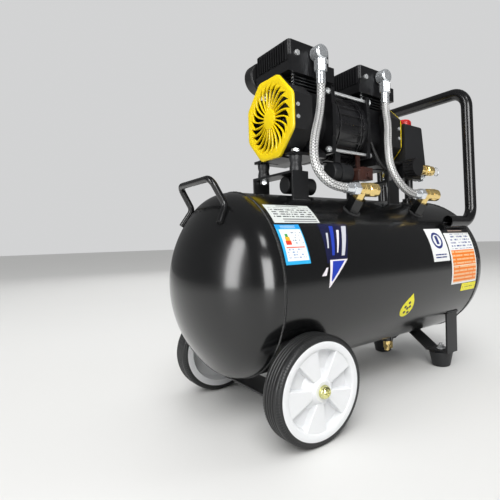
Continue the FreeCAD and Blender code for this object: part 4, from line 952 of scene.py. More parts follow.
@dataclass(frozen=True)
class BraidFinish(Painted):
    """Stainless wire braid: bands of fine wires that cross over and under, on the hose's own map, with
    painted shade in the dips between the bands.
    """

    wires: int = 4
    bright: Colour = (0.92, 0.92, 0.91)
    # colour of the painted shade in the braid's dips and along its band edges
    dark: Colour = (0.012, 0.012, 0.014)
    metallic: float = 0.4
    wire_relief: float = 0.16
    depth: float = 0.0004

    def shader_inputs(self, tree: Tree, box: Paintbox) -> dict[str, object]:
        """Feed the shader from the pattern of crossing bands, with painted shade in the low places and along
        the band edges.

        Args:
            tree: the material's node tree.
            box: the paint box.

        Returns:
            The inputs by name.
        """
        place = tree.out("ShaderNodeUVMap", {"uv_map": "braid"})
        around, along = tree.node("ShaderNodeSeparateXYZ", Vector=place).outputs[:2]
        left = tree.maths("ADD", around, along)
        right = tree.maths("SUBTRACT", around, along)
        checks = tree.maths("ADD", tree.maths("FLOOR", left), tree.maths("FLOOR", right))
        over = tree.maths("GREATER_THAN", tree.maths("PINGPONG", checks, 1.0), 0.5)

        def crossing(turn: float) -> tuple[Socket, ...]:
            """Waves of both sets of bands."""
            return tree.waves(left, turn), tree.waves(right, turn)

        fine = crossing(TURN * self.wires)
        wires = tree.out("ShaderNodeMix", {"data_type": "FLOAT"}, i0=over, i2=fine[0], i3=fine[1])
        wide = [tree.maths("ABSOLUTE", wave) for wave in crossing(math.pi)]
        band = tree.out("ShaderNodeMix", {"data_type": "FLOAT"}, i0=over, i2=wide[0], i3=wide[1])
        height = tree.maths("MULTIPLY_ADD", wires, self.wire_relief, band)
        # painted shade: the colour goes dark where the bands dip and in dashes along the band edges, standing
        # in for the shadow in those recesses
        shade = tree.ranged(height, From_Min=0.30, From_Max=0.70)
        column = tree.ranged(tree.maths("ABSOLUTE", tree.waves(around, math.pi)), From_Min=0.12,
                             From_Max=0.42)
        gap = tree.ranged(tree.maths("ABSOLUTE", tree.waves(along, TURN)), From_Min=0.25,
                          From_Max=0.60, To_Min=1.0, To_Max=0.0)
        seen = tree.maths("MULTIPLY", shade, tree.maths("MAXIMUM", column, gap))
        bump = tree.out("ShaderNodeBump", Strength=0.7, Distance=self.depth, Height=height)
        return {"Base_Color": tree.mix(seen, self.dark, self.bright),
                "Roughness": tree.ranged(height, To_Min=0.55, To_Max=0.24),
                "Metallic": self.metallic, "Normal": bump}


@dataclass(frozen=True)
class Band:
    """One printed area of a label, from low to high in both directions, each 0 to 1."""

    low: tuple[float, float]
    high: tuple[float, float]
    colour: Colour
    rows: float = 0.0
    words: float = 10.0
    ink: Colour = (0.05, 0.05, 0.06)
    fill: float = 0.45


@dataclass(frozen=True)
class Spot:
    """One printed ring or dot of a label."""

    centre: tuple[float, float]
    radius: float
    half_width: float
    colour: Colour
    tallness: float = 1.0

@dataclass(frozen=True)
class LabelFinish(Painted):
    """Printed film: plain areas of colour, some with rows of dashes, on the film's own map."""

    ground: Colour
    bands: tuple[Band, ...]
    roughness: float = 0.30
    spots: tuple[Spot, ...] = ()

    def shader_inputs(self, tree: Tree, box: Paintbox) -> dict[str, object]:
        """Feed the shader from the areas laid over each other.

        Args:
            tree: the material's node tree.
            box: the paint box.

        Returns:
            The inputs by name.
        """
        place = tree.out("ShaderNodeUVMap", {"uv_map": "sheet"})
        axes = tree.node("ShaderNodeSeparateXYZ", Vector=place).outputs[:2]
        colour: object = self.ground
        for band in self.bands:
            across, up = (tree.maths("COMPARE", axis, (low + high) / 2, (high - low) / 2)
                          for axis, low, high in zip(axes, band.low, band.high))
            mask = tree.maths("MULTIPLY", across, up)
            colour = tree.mix(mask, colour, band.colour)
            if band.rows:
                rows = tree.out("ShaderNodeGroup", {"node_tree": box.rows}, Across=axes[0],
                                Up=axes[1], Rows=band.rows, Words=band.words, Fill=band.fill)
                colour = tree.mix(tree.maths("MULTIPLY", rows, mask), colour, band.ink)
        for spot in self.spots:
            scaled = tree.out("ShaderNodeVectorMath", {"operation": "MULTIPLY"}, i0=place,
                              i1=(1.0, spot.tallness, 0.0))
            reach = tree.node("ShaderNodeVectorMath", {"operation": "DISTANCE"}, i0=scaled,
                              i1=(spot.centre[0], spot.centre[1] * spot.tallness, 0.0))
            mask = tree.maths("COMPARE", reach.outputs["Value"], spot.radius, spot.half_width)
            colour = tree.mix(mask, colour, spot.colour)
        creases = tree.noise(place, 60.0, 3.0)
        ripple = tree.out("ShaderNodeBump", Strength=0.15, Distance=0.0002, Height=creases)
        rough = tree.ranged(creases, To_Min=self.roughness - 0.06, To_Max=self.roughness + 0.1)
        return {"Base_Color": colour, "Roughness": rough, "Normal": ripple}


@dataclass(frozen=True)
class GlassFinish(Painted):
    """Clear window with faint wiping marks."""

    tint: Colour = (0.96, 0.98, 0.98)
    bending: float = 1.45

    def shader_inputs(self, tree: Tree, box: Paintbox) -> dict[str, object]:
        """Feed the shader as glass.

        Args:
            tree: the material's node tree.
            box: the paint box.

        Returns:
            The inputs by name.
        """
        marks = tree.noise(tree.object_place(), 1600.0, 2.0)
        return {"Base_Color": self.tint, "IOR": self.bending, "Transmission_Weight": 1.0,
                "Roughness": tree.ranged(marks, To_Min=0.02, To_Max=0.08)}


@dataclass(frozen=True)
class FloorFinish(Painted):
    """Pale matt floor."""

    tone: Colour = (0.66, 0.66, 0.65)
    specular: float = 0.05

    def shader_inputs(self, tree: Tree, box: Paintbox) -> dict[str, object]:
        """Feed the shader from slow changes of gloss.

        Args:
            tree: the material's node tree.
            box: the paint box.

        Returns:
            The inputs by name.
        """
        patches = tree.noise(tree.object_place(), 3.0, 3.0)
        return {"Base_Color": self.tone, "Specular_IOR_Level": self.specular,
                "Roughness": tree.ranged(patches, To_Min=0.42, To_Max=0.55)}


# ---- handing pieces over ---------------------------------------------------------------
RECORD = frame["record"]
BODY_OF = {node: body for body, nodes in RECORD["behaviour"]["bodies"].items() for node in nodes}
SLOT_OF = {item["node"]: item["material_slot"] for item in RECORD["subparts"]}
ROOT = "tank_unit"


class Shop:
    """The shared paint box and repeat trees, and the way a finished piece is handed over."""

    def __init__(self) -> None:
        """Open an empty shop."""
        self.box = Paintbox()
        self.repeat = Repeater()

    def paint(self, finish: Painted) -> Material:
        """Material of a finish."""
        return self.box.paint(finish)

    def hand_over(self, piece: Piece, finishes: Sequence[Painted] | None, *nodes: str,
                  body: str | None = None, slot: str | None = None) -> Piece:
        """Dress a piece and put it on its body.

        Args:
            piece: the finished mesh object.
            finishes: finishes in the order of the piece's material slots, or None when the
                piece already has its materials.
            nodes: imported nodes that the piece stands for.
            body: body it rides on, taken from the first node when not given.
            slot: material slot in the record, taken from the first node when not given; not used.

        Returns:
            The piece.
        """
        if finishes is not None:
            if len(piece.data.materials):
                piece.data.materials.clear()
            for finish in finishes:
                piece.data.materials.append(self.paint(finish))
        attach(piece, body or BODY_OF[nodes[0]])
        slot or SLOT_OF[nodes[0]]
        if nodes:
            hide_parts(*nodes)
        LOG.info("%s: %d faces", piece.name, len(piece.data.polygons))
        return piece

    def built(self, name: str, form: Form, rounding: float = 0.0, segments: int = 2,
              angle: float = EDGE_ANGLE) -> Piece:
        """Turn a form into a shaded object, with its edges rounded as finished does."""
        return finished(form.plain(name), rounding, segments, angle)


def split_finish(piece: Piece, choose: Callable[[Vector], int]) -> Piece:
    """Give each separate solid of a piece a material slot of its own.

    Args:
        piece: mesh object.
        choose: gives the material slot for the middle of a solid.

    Returns:
        The same object.
    """
    work = bmesh.new()
    work.from_mesh(piece.data)
    for faces in islands(work):
        chosen = choose(span_round(faces).middle)
        for face in faces:
            face.material_index = chosen
    work.to_mesh(piece.data)
    work.free()
    return piece


# ---- tank ------------------------------------------------------------------------------
@dataclass
class Tank:
    """Welded tank: rolled shell, two pressed ends, seam beads and its bungs."""

    shop: Shop
    knuckle: float = 0.055
    steps: int = 144
    seam_bead: Point = (0.0030, 0.0030, 0.0017)
    seam_sink: float = -0.0013
    seam_points: int = 120
    fillet_bead: Point = (0.0026, 0.0026, 0.0016)
    fillet_lift: float = 0.0006
    bead_spacing: float = 0.0021
    strap_end: float = 0.001
    bung_reach: float = 0.0142
    bung_sink: float = 0.0005
    bung_least: float = 0.012
    bung_most: float = 0.0285
    bung_slant: float = 0.2
    bung_points: int = 32
    bar_radius: float = 0.0125
    bar_seat: float = 0.0122
    bar_bead_turn: float = 2.3
    bar_bead_lift: float = 0.001
    bar_ends: tuple[float, float] = (0.002, 0.006)
    radius: float = field(init=False)
    axis_z: float = field(init=False)
    half: float = field(init=False)
    depth: float = field(init=False)

    def __post_init__(self) -> None:
        """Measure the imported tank."""
        shell = span_of("tank_shell")
        self.radius = shell.size.z / 2
        self.axis_z = shell.middle.z
        self.half = shell.size.x / 2
        self.depth = span_of("tank_domes").high.x - self.half

    def dome(self, pieces: int = 14) -> list[tuple[float, float]]:
        """Work out the outside of the +X end: a knuckle, then a crown.

        Args:
            pieces: steps in the knuckle; the crown has twice as many.

        Returns:
            (place along the tank, radius) points from the seam to the tip.
        """
        level = self.radius - self.knuckle
        crown = (self.depth ** 2 - self.knuckle ** 2 + level ** 2) / (2 * (self.depth - self.knuckle))
        centre = self.half + self.depth - crown
        split = math.atan2(level, self.half - centre)
        points = [(self.half, self.radius)]
        for x, height, reach, start, stop, count in (
                (self.half, level, self.knuckle, math.pi / 2, split, pieces),
                (centre, 0.0, crown, split, 0.0, 2 * pieces)):
            for step in range(1, count + 1):
                angle = start + (stop - start) * step / count
                points.append((x + reach * math.cos(angle), height + reach * math.sin(angle)))
        return points

    def at(self, x: float, angle: float, lift: float = 0.0) -> Vector:
        """Point on the shell.

        Args:
            x: place along the tank.
            angle: degrees up from the near side.
            lift: height over the shell.

        Returns:
            The point.
        """
        reach = self.radius + lift
        turn = math.radians(angle)
        return Vector((x, -reach * math.cos(turn), self.axis_z + reach * math.sin(turn)))

    def body(self) -> None:
        """Make the shell with its two ends as one closed skin."""
        right = self.dome()
        left = [(-x, radius) for x, radius in reversed(right)]
        middle = [(-self.half + 2 * self.half * step / 8, self.radius) for step in range(1, 8)]
        form = Form().lathe(left + middle + right, (0, 0, self.axis_z), AXIS_X, self.steps)
        self.shop.hand_over(self.shop.built("tank_body", form), [ENAMEL], "tank_shell", "tank_domes")

    def seams(self) -> None:
        """Lay the bead round both end seams."""
        count = self.seam_points
        runs = [[self.at(x, 360 * step / count, self.seam_sink) for step in range(count)]
                for x in (-self.half, self.half)]
        piece = self.shop.repeat.weld("seam_beads", runs, self.seam_bead, self.bead_spacing,
                                      self.shop.paint(ENAMEL), closed=True)
        self.shop.hand_over(piece, None, "tank_seam_welds")

    def turn_at(self, y: float) -> float:
        """Degrees up from the near side to the upper shell at a distance from the middle plane."""
        return math.degrees(math.acos(max(-1.0, min(1.0, -y / self.radius))))

    def run(self, x0: float, x1: float, turn: float, lift: float) -> list[Vector]:
        """Straight run along the shell."""
        return [self.at(x0, turn, lift), self.at(x1, turn, lift)]

    def bung_ring(self, bung: Span) -> list[Vector]:
        """Ring on the shell round a bung.

        Args:
            bung: box of the bung.

        Returns:
            Points round it, or none for a fitting that isn't one of the slanted round bungs.
        """
        out = Vector((0, bung.middle.y, bung.middle.z - self.axis_z)).normalized()
        sizes = bung.size.y > self.bung_least and bung.size.x < self.bung_most
        if not sizes or abs(out.y) <= self.bung_slant or out.z <= 0.5:
            return []
        foot = Vector((bung.middle.x, 0, self.axis_z)) + out * self.radius
        ring = []
        for step in range(self.bung_points + 1):
            turn = TURN * step / self.bung_points
            offset = spoke(AXIS_X, AXIS_X.cross(out), turn) * self.bung_reach
            drop = self.radius - math.sqrt(self.radius ** 2 - (math.sin(turn) * self.bung_reach) ** 2)
            ring.append(foot + offset - out * (drop - self.bung_sink))
        return ring

    def fillets(self) -> None:
        """Lay the beads that hold saddles, brackets, bungs and handles to the shell."""
        lift, inset = self.fillet_lift, self.strap_end
        runs = []
        for saddle in islands_of("saddles"):
            for y in (saddle.low.y - lift, saddle.high.y + lift):
                runs.append(self.run(saddle.low.x, saddle.high.x, self.turn_at(y), lift))
        for strap in (span_of("foot_bracket"), span_of("axle_bracket")):
            for y in (strap.low.y, strap.high.y):
                runs.append(self.run(strap.low.x + inset, strap.high.x - inset, -self.turn_at(y), lift))
        runs.extend(filter(None, map(self.bung_ring, islands_of("tank_bungs"))))
        bar = span_of("push_handle")
        lean = math.degrees(math.asin((-bar.low.y - self.bar_radius) / (self.radius + self.bar_seat)))
        for side in Side:
            for away in (-self.bar_bead_turn, self.bar_bead_turn):
                runs.append(self.run(bar.low.x + self.bar_ends[0], self.half - self.bar_ends[1],
                                     90 + side.value * lean + away, self.bar_bead_lift))
        piece = self.shop.repeat.weld("fillet_beads", runs, self.fillet_bead, self.bead_spacing,
                                      self.shop.paint(BRACKET_PAINT))
        self.shop.hand_over(piece, None, body=ROOT, slot="tank_black")

    def build(self) -> None:
        """Make every piece of the tank."""
        self.body()
        self.seams()
        self.fillets()
        self.shop.hand_over(copy_of("tank_bungs", "bungs", 0.0006), [ENAMEL], "tank_bungs")


# ---- labels ----------------------------------------------------------------------------
@dataclass(frozen=True)
class Sticker:
    """One printed film on the tank: its place and its print."""

    name: str
    x: tuple[float, float]
    angle: tuple[float, float]
    finish: LabelFinish
    layer: int = 0
    left: Callable[[float], float] | None = None
    right: Callable[[float], float] | None = None


INK: Colour = (0.02, 0.022, 0.03)
PAPER_WHITE: Colour = (0.80, 0.81, 0.80)
NAVY: Colour = (0.012, 0.022, 0.16)
ORANGE: Colour = (0.85, 0.20, 0.01)
TAB_YELLOW: Colour = (0.90, 0.82, 0.01)
SILVER_FILM = LabelFinish("silver_film", (0.56, 0.57, 0.62), (), 0.16)
PALE_FILM = LabelFinish("pale_film", (0.80, 0.76, 0.80), (), 0.20)
BLUE_FILM = LabelFinish("blue_film", (0.020, 0.050, 0.42), (), 0.18)
NIGHT_FILM = LabelFinish("night_film", (0.010, 0.011, 0.045), (), 0.16)
RATING_FILM = LabelFinish("rating_film", (0.62, 0.65, 0.63), (
    Band((0.26, 0.84), (0.76, 0.95), (0.62, 0.65, 0.63), 8.0, 14.0, INK, 0.30),
    Band((0.05, 0.24), (0.95, 0.80), (0.66, 0.69, 0.67), 8.0, 12.0, INK, 0.48),
    Band((0.22, 0.06), (0.96, 0.20), (0.62, 0.65, 0.63), 8.0, 20.0, INK, 0.30)))
CLASS_FILM = LabelFinish("class_film", (0.03, 0.42, 0.78), (
    Band((0.0, 0.88), (1.0, 1.0), (0.012, 0.30, 0.72)),
    Band((0.20, 0.90), (0.80, 0.96), (0.012, 0.30, 0.72), 14.0, 10.0, (0.80, 0.86, 0.90), 0.35),
    Band((0.10, 0.08), (0.96, 0.86), (0.82, 0.84, 0.86)),
    Band((0.20, 0.46), (0.42, 0.56), (0.70, 0.05, 0.02)),
    Band((0.22, 0.56), (0.40, 0.66), (0.75, 0.42, 0.02)),
    Band((0.25, 0.66), (0.36, 0.74), (0.04, 0.30, 0.07)),
    Band((0.16, 0.38), (0.90, 0.41), (0.70, 0.16, 0.10)),
    Band((0.50, 0.46), (0.92, 0.80), (0.82, 0.84, 0.86), 15.0, 6.0, (0.20, 0.26, 0.34), 0.52),
    Band((0.18, 0.12), (0.90, 0.36), (0.82, 0.84, 0.86), 16.0, 9.0, (0.20, 0.32, 0.55), 0.52)))
GUIDE_FILM = LabelFinish("guide_film", PAPER_WHITE, (
    Band((0.16, 0.06), (0.86, 0.22), PAPER_WHITE, 13.0, 9.0, NAVY, 0.44),
    Band((0.42, 0.50), (0.58, 0.76), NAVY)),
    spots=(Spot((0.5, 0.62), 0.27, 0.045, NAVY, 1.25),))
CARE_FILM = LabelFinish("care_film", PAPER_WHITE, (
    Band((0.0, 0.93), (1.0, 1.0), (0.012, 0.012, 0.014)),
    Band((0.22, 0.945), (0.78, 0.985), (0.012, 0.012, 0.014), 24.0, 9.0, (0.80, 0.60, 0.50), 0.36),
    Band((0.12, 0.62), (0.94, 0.91), PAPER_WHITE, 17.0, 9.0, (0.10, 0.12, 0.30), 0.50),
    Band((0.05, 0.03), (0.97, 0.60), ORANGE, 15.0, 9.0, (0.86, 0.50, 0.26), 0.44),
    Band((0.05, 0.315), (0.97, 0.33), (0.86, 0.70, 0.55))))
YELLOW_FILM = LabelFinish("yellow_film", TAB_YELLOW, (
    Band((0.08, 0.20), (0.92, 0.80), TAB_YELLOW, 3.0, 9.0, (0.22, 0.20, 0.03), 0.50),))
DROP_FILM = LabelFinish("drop_film", TAB_YELLOW, (), spots=tuple(
    Spot(place, 0.0, 0.075, INK, 1.15)
    for place in ((0.36, 0.22), (0.62, 0.18), (0.50, 0.38), (0.34, 0.46), (0.64, 0.44), (0.56, 0.62))))


def slant(low: float, high: float) -> Callable[[float], float]:
    """Straight edge that goes from one share of the width, at the bottom, to another."""
    return lambda height: low + (high - low) * height


@dataclass(frozen=True)
class DropEdge:
    """Edge of a leaning teardrop: the left one for side -1, the right one for side 1."""

    side: float
    belly: float = 0.40
    taper: float = 1.1
    foot: float = 0.42
    lean: float = 0.26
    half: float = 0.40
    tip: float = 0.02

    def __call__(self, height: float) -> float:
        """Find the edge.

        Args:
            height: share of the height.

        Returns:
            Share of the width.
        """
        if height < self.belly:
            wide = math.sqrt(max(0.0, 1 - ((self.belly - height) / self.belly) ** 2))
        else:
            wide = math.cos((height - self.belly) / (1 - self.belly) * math.pi / 2) ** self.taper
        return self.foot + self.lean * height * height + self.side * self.half * max(self.tip, wide)


BADGE_X = (-0.190, -0.110)
STICKERS: tuple[Sticker, ...] = (
    Sticker("rating_label", (-0.253, -0.167), (39.6, 56.0), RATING_FILM),
    Sticker("class_label", (-0.256, -0.212), (13.8, 38.3), CLASS_FILM),
    Sticker("badge_plate", BADGE_X, (13.0, 38.8), NIGHT_FILM, 0, slant(0.12, 0.20), slant(0.62, 0.98)),
    Sticker("badge_streak_one", BADGE_X, (17.0, 37.0), SILVER_FILM, 1, slant(0.52, 0.80),
            slant(0.60, 0.93)),
    Sticker("badge_streak_two", BADGE_X, (19.0, 34.0), PALE_FILM, 1, slant(0.42, 0.61),
            slant(0.45, 0.68)),
    Sticker("badge_streak_three", BADGE_X, (17.5, 37.0), BLUE_FILM, 1, slant(0.28, 0.46),
            slant(0.34, 0.56)),
    Sticker("badge_streak_four", BADGE_X, (22.0, 32.0), SILVER_FILM, 1, slant(0.21, 0.30),
            slant(0.24, 0.35)),
    Sticker("badge_tip", BADGE_X, (-1.0, 14.8), PALE_FILM, 1, slant(0.10, 0.20), slant(0.115, 0.66)),
    Sticker("badge_tip_field", BADGE_X, (2.6, 14.0), BLUE_FILM, 2, slant(0.165, 0.26),
            slant(0.185, 0.57)),
    Sticker("badge_wing", BADGE_X, (6.0, 10.5), PALE_FILM, 1, slant(-0.06, 0.08), slant(0.05, 0.12)),
    Sticker("guide_label", (0.095, 0.151), (7.3, 34.0), GUIDE_FILM),
    Sticker("care_label", (0.156, 0.254), (-12.0, 33.0), CARE_FILM),
    Sticker("yellow_tab", (0.198, 0.255), (-19.0, -12.6), YELLOW_FILM),
    Sticker("yellow_drop", (0.001, 0.045), (-31.5, -13.5), DROP_FILM, 0, DropEdge(-1),
            DropEdge(1)))


@dataclass
class Labels:
    """Printed films on the near side of the tank."""

    shop: Shop
    tank: Tank
    film: float = 0.00022
    lift: float = 0.0003
    crease: float = 30.0
    columns: int = 10
    rows: int = 26

    def patch(self, sticker: Sticker) -> None:
        """Lay one film on the shell.

        Args:
            sticker: the film.
        """
        lift = self.lift + self.film * sticker.layer
        verts, sheet = [], []
        x0, x1 = sticker.x
        for row in range(self.rows + 1):
            up = row / self.rows
            low = sticker.left(up) if sticker.left else 0.0
            high = sticker.right(up) if sticker.right else 1.0
            angle = sticker.angle[0] + (sticker.angle[1] - sticker.angle[0]) * up
            for column in range(self.columns + 1):
                across = low + (high - low) * column / self.columns
                verts.append(self.tank.at(x0 + (x1 - x0) * across, angle, lift))
                sheet.append((across, up))
        faces = []
        wide = self.columns + 1
        for row in range(self.rows):
            for column in range(self.columns):
                start = row * wide + column
                faces.append((start, start + 1, start + wide + 1, start + wide))
        data = bpy.data.meshes.new(sticker.name)
        data.from_pydata([tuple(vert) for vert in verts], [], faces)
        layer = data.uv_layers.new(name="sheet")
        for loop in data.loops:
            layer.data[loop.index].uv = sheet[loop.vertex_index]
        piece = new_object(sticker.name, data)
        wall = piece.modifiers.new("film", "SOLIDIFY")
        wall.thickness = self.film
        wall.offset = -1.0
        piece = smoothed(baked(piece), self.crease)
        self.shop.hand_over(piece, [sticker.finish], body=ROOT, slot="label_paper")

    def build(self) -> None:
        """Lay every film."""
        for sticker in STICKERS:
            self.patch(sticker)


# ---- wheels ----------------------------------------------------------------------------
RIM_SECTION: Corners = (
    ("face", -0.0004, "rim", -0.0004), ("face", 0.0, "rim", -0.0012), ("face", 0.0, "lip", 0.001),
    ("face", -0.0006, "lip", 0.0), ("face", -0.0044, "lip", -0.0012), ("web", 0.0, "lip", -0.0034),
    ("web", -0.0004, "axis", 0.030), ("face", -0.0080, "axis", 0.0235), ("face", -0.0030, "hub", 0.0045),
    ("cap", -0.0006, "hub", 0.0), ("cap", 0.0, "hub", -0.0012), ("cap", 0.0, "bush", 0.0),
    ("boss", 0.0, "bush", 0.0), ("boss", 0.0, "hub", -0.002), ("boss", 0.002, "hub", 0.0),
    ("web", -0.005, "hub", 0.0), ("web", -0.0032, "axis", 0.024), ("web", -0.003, "axis", 0.054),
    ("web", -0.004, "lip", -0.0035), ("back", 0.002, "lip", -0.001), ("back", 0.0, "lip", 0.0),
    ("back", 0.0, "rim", -0.001), ("back", 0.0004, "rim", 0.0), ("back", 0.003, "rim", 0.0),
    ("back", 0.003, "rim", -0.004), ("face", -0.003, "rim", -0.004), ("face", -0.003, "rim", 0.0))


@dataclass
class Wheels:
    """Two moulded wheels with ribbed tyres."""

    shop: Shop
    panels: int = 5
    ribs: int = 120
    hub: float = 0.015
    bush: float = 0.0085
    pocket: float = 0.0125
    cap_share: float = 0.68
    shoulder: float = 0.0075
    bead_depth: float = 0.012
    grooves: int = 4
    groove: Profile = ((0.0019, 0.0), (0.0015, 0.0004), (0.0009, 0.0022), (-0.0009, 0.0022),
                       (-0.0015, 0.0004), (-0.0019, 0.0))
    knurl: float = 0.00055
    knurl_turns: tuple[float, float] = (18.0, 60.0)
    lip_width: float = 0.0112
    panel_turn: float = -24.0
    panel_half: float = 19.0
    panel_foot: float = 20.0
    panel_start: float = 0.0190
    panel_tuck: float = 0.0012
    panel_top: float = 0.0016
    panel_flare: float = 1.06
    panel_edge: float = 0.0011
    rim_steps: int = 128
    tyre_steps: int = 144

    def tyre(self, side: Side, centre: Vector, radius: float, half: float, bead: float) -> None:
        """Make one tyre: rounded shoulders, grooves and a fine knurl on the shoulders.

        Args:
            side: which wheel.
            centre: middle of the wheel.
            radius: outside radius of the tyre.
            half: half of its width.
            bead: inside radius.
        """
        axis = AXIS_Y * side.value
        flat, level = half - self.shoulder, radius - self.shoulder

        def bulge(turn: float) -> tuple[float, float]:
            """Place across and height of the shoulder at an angle."""
            return flat + self.shoulder * math.cos(turn), level + self.shoulder * math.sin(turn)

        end = [(half - 0.0005, bead)] + [bulge(math.pi / 2 * step / 8) for step in range(9)]
        profile = list(end)
        for index in range(self.grooves):
            middle = flat * (1 - (2 * index + 1) / self.grooves)
            profile.extend((middle + along, radius - deep) for along, deep in self.groove)
        profile.extend((-along, reach) for along, reach in reversed(end))
        tyre = self.shop.built("tyre_body", Form().lathe(profile, centre, axis, self.tyre_steps, closed=True))
        rubber = self.shop.paint(TREAD_RUBBER)
        tyre.data.materials.append(rubber)
        knurls = []
        low, high = map(math.radians, self.knurl_turns)
        for way in (-1, 1):
            places = [bulge(low + (high - low) * step / 4) for step in range(5)]
            bar = Form().tube([centre + axis * way * along + AXIS_Z * reach for along, reach in places],
                              self.knurl, 5)
            knurls.append(self.shop.repeat.round_axis(bar.plain(f"knurl_{way}"), self.ribs, AXIS_Y,
                                                      centre, rubber))
        piece = smoothed(joined(f"tyre_{side.wheel}", [tyre] + knurls), FACET_ANGLE)
        self.shop.hand_over(piece, None, f"wheel_tyre_{side.wheel}")

    def rim_section(self, face: float, radius: float, hub_out: float, hub_in: float) -> Profile:
        """Section of a rim: lip, pocket, hub, back of the web and barrel.

        Args:
            face: distance from the middle to either face.
            radius: outside radius.
            hub_out: reach of the hub outwards.
            hub_in: reach of the hub inwards.

        Returns:
            (distance outwards, radius) points of a closed loop.
        """
        along = {"face": face, "web": face - self.pocket, "cap": hub_out, "boss": -hub_in, "back": -face}
        reach = {"rim": radius, "lip": radius - self.lip_width, "hub": self.hub, "bush": self.bush,
                 "axis": 0.0}
        return section(RIM_SECTION, along, reach)

    def rim(self, side: Side, centre: Vector, rim: Span, half: float, radius: float) -> None:
        """Make one rim with its raised panels.

        Args:
            side: which wheel.
            centre: middle of the wheel.
            rim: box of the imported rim.
            half: half of the tyre's width.
            radius: outside radius of the rim.
        """
        out = AXIS_Y * side.value
        white = self.shop.paint(WHITE_PLASTIC)
        reaches = [centre.y - rim.low.y, rim.high.y - centre.y][::-side.value]
        profile = self.rim_section(half, radius, *reaches)
        body = self.shop.built("rim_body", Form().lathe(profile, centre, out, self.rim_steps, closed=True))
        body.data.materials.append(white)
        lip = radius - self.lip_width
        wide, foot = math.radians(self.panel_half), math.radians(self.panel_foot)
        corners = [(self.panel_start, -foot), (self.panel_start, foot)]
        corners += [(lip + self.panel_tuck, wide * (1 - step / 3)) for step in range(7)]
        rings = []
        for depth, spread in ((self.pocket + 0.001, self.panel_flare), (self.panel_top, 0.98)):
            rings.append([centre + out * (half - depth) + reach * spoke(
                AXIS_Z, AXIS_X, math.radians(self.panel_turn) + turn * spread)
                for reach, turn in corners])
        wedge = self.shop.built("raised_panel", Form().loops(rings), self.panel_edge, 3, 25.0)
        ring = self.shop.repeat.round_axis(wedge, self.panels, AXIS_Y, centre, white)
        piece = smoothed(joined(f"rim_{side.wheel}", [body, ring]), EDGE_ANGLE)
        self.shop.hand_over(piece, None, f"wheel_rim_{side.wheel}")

    def build(self) -> None:
        """Make both wheels and their axle hardware."""
        for side in Side:
            tyre, rim = span_of(f"wheel_tyre_{side.wheel}"), span_of(f"wheel_rim_{side.wheel}")
            radius, half = tyre.size.z / 2, tyre.size.y / 2
            self.tyre(side, tyre.middle, radius, half, radius - self.bead_depth)
            self.rim(side, tyre.middle, rim, half, rim.size.z / 2)
        bolts = copy_of("axle_bolts", "axle_hardware", 0.0005)
        packed = span_of("wheel_rim_near")
        for vert in bolts.data.vertices:
            if vert.co.y < packed.low.y + 0.0005:
                vert.co.x = packed.middle.x + (vert.co.x - packed.middle.x) * self.cap_share
                vert.co.z = packed.middle.z + (vert.co.z - packed.middle.z) * self.cap_share
        self.shop.hand_over(bolts, [YELLOW_ZINC], "axle_bolts")
        self.shop.hand_over(copy_of("axle_bracket", "axle_strap", 0.0007), [BRACKET_PAINT], "axle_bracket")


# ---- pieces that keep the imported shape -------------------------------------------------
@dataclass(frozen=True)
class Carried:
    """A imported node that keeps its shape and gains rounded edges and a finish."""

    node: str
    name: str
    finish: Finish
    rounding: float = 0.0004
    segments: int = 2


CARRIED = tuple(Carried(*row) for row in (
    ("foot_bracket", "foot_strap", BRACKET_PAINT, 0.0008),
    ("saddles", "pump_saddles", BRACKET_PAINT, 0.0009, 3),
    ("rubber_feet", "feet", MOUNT_RUBBER, 0.0010, 3),
    ("rubber_mounts", "buffers", MOUNT_RUBBER, 0.0008),
    ("mounting_bolts", "mount_hardware", BRIGHT_ZINC),
    ("crankcase_left", "crank_housing_left", CASTING, 0.0010, 3),
    ("crankcase_right", "crank_housing_right", CASTING, 0.0010, 3),
    ("fan_shroud_left", "cowl_left", COWL_PLASTIC, 0.0007, 3),
    ("fan_shroud_right", "cowl_right", COWL_PLASTIC, 0.0007, 3),
    ("cooling_fans", "fans", COWL_PLASTIC, 0.0003),
    ("motor_housing", "motor_barrel", MOTOR_PAINT, 0.0006, 3),
    ("stator_core", "stator", CORE_STEEL, 0.0),
    ("stator_windings", "windings", COPPER, 0.0015, 3),
    ("tie_bolts", "tie_rods", BRIGHT_ZINC, 0.0003),
    ("shaft_bearings", "bearings", NICKEL, 0.0003),
    ("motor_shaft", "shaft_bar", NICKEL, 0.0003),
    ("rotor_core", "rotor", CORE_STEEL, 0.0003),
    ("eccentrics", "crank_discs", CAST_IRON),
    ("connecting_rod_left", "rod_left", CAST_ALLOY),
    ("connecting_rod_right", "rod_right", CAST_ALLOY),
    ("piston_left", "piston_crown_left", CAST_ALLOY, 0.0003),
    ("piston_right", "piston_crown_right", CAST_ALLOY, 0.0003),
    ("cylinders", "finned_cylinders", CASTING, 0.0003),
    ("valve_plates", "head_plates", CASTING, 0.0003),
    ("cylinder_heads", "heads", CASTING, 0.0009, 3),
    ("pump_screws", "head_screws", BRIGHT_ZINC, 0.0003),
    ("air_filters", "intake_filters", COWL_PLASTIC, 0.0008, 3),
    ("hose_fittings", "hose_ends", NICKEL),
    ("check_valves", "tank_valves", BRASS, 0.0005),
    ("switch_body", "switch_base", COWL_PLASTIC, 0.0007),
    ("switch_cover", "switch_lid", SWITCH_PLASTIC, 0.0012, 3),
    ("pull_knob", "switch_knob", RED_PLASTIC, 0.0006, 3),
    ("air_manifold", "outlet_block", CASTING, 0.0009, 3),
    ("regulator_knob", "regulator_cap", COWL_PLASTIC, 0.0006),
    ("safety_ring", "relief_ring", NICKEL, 0.0),
    ("drain_valve", "drain_cock", BRASS),
    ("drain_wing", "drain_lever", BRASS),
    ("gauge_needle", "pointer", PAPER_INK, 0.0001)))


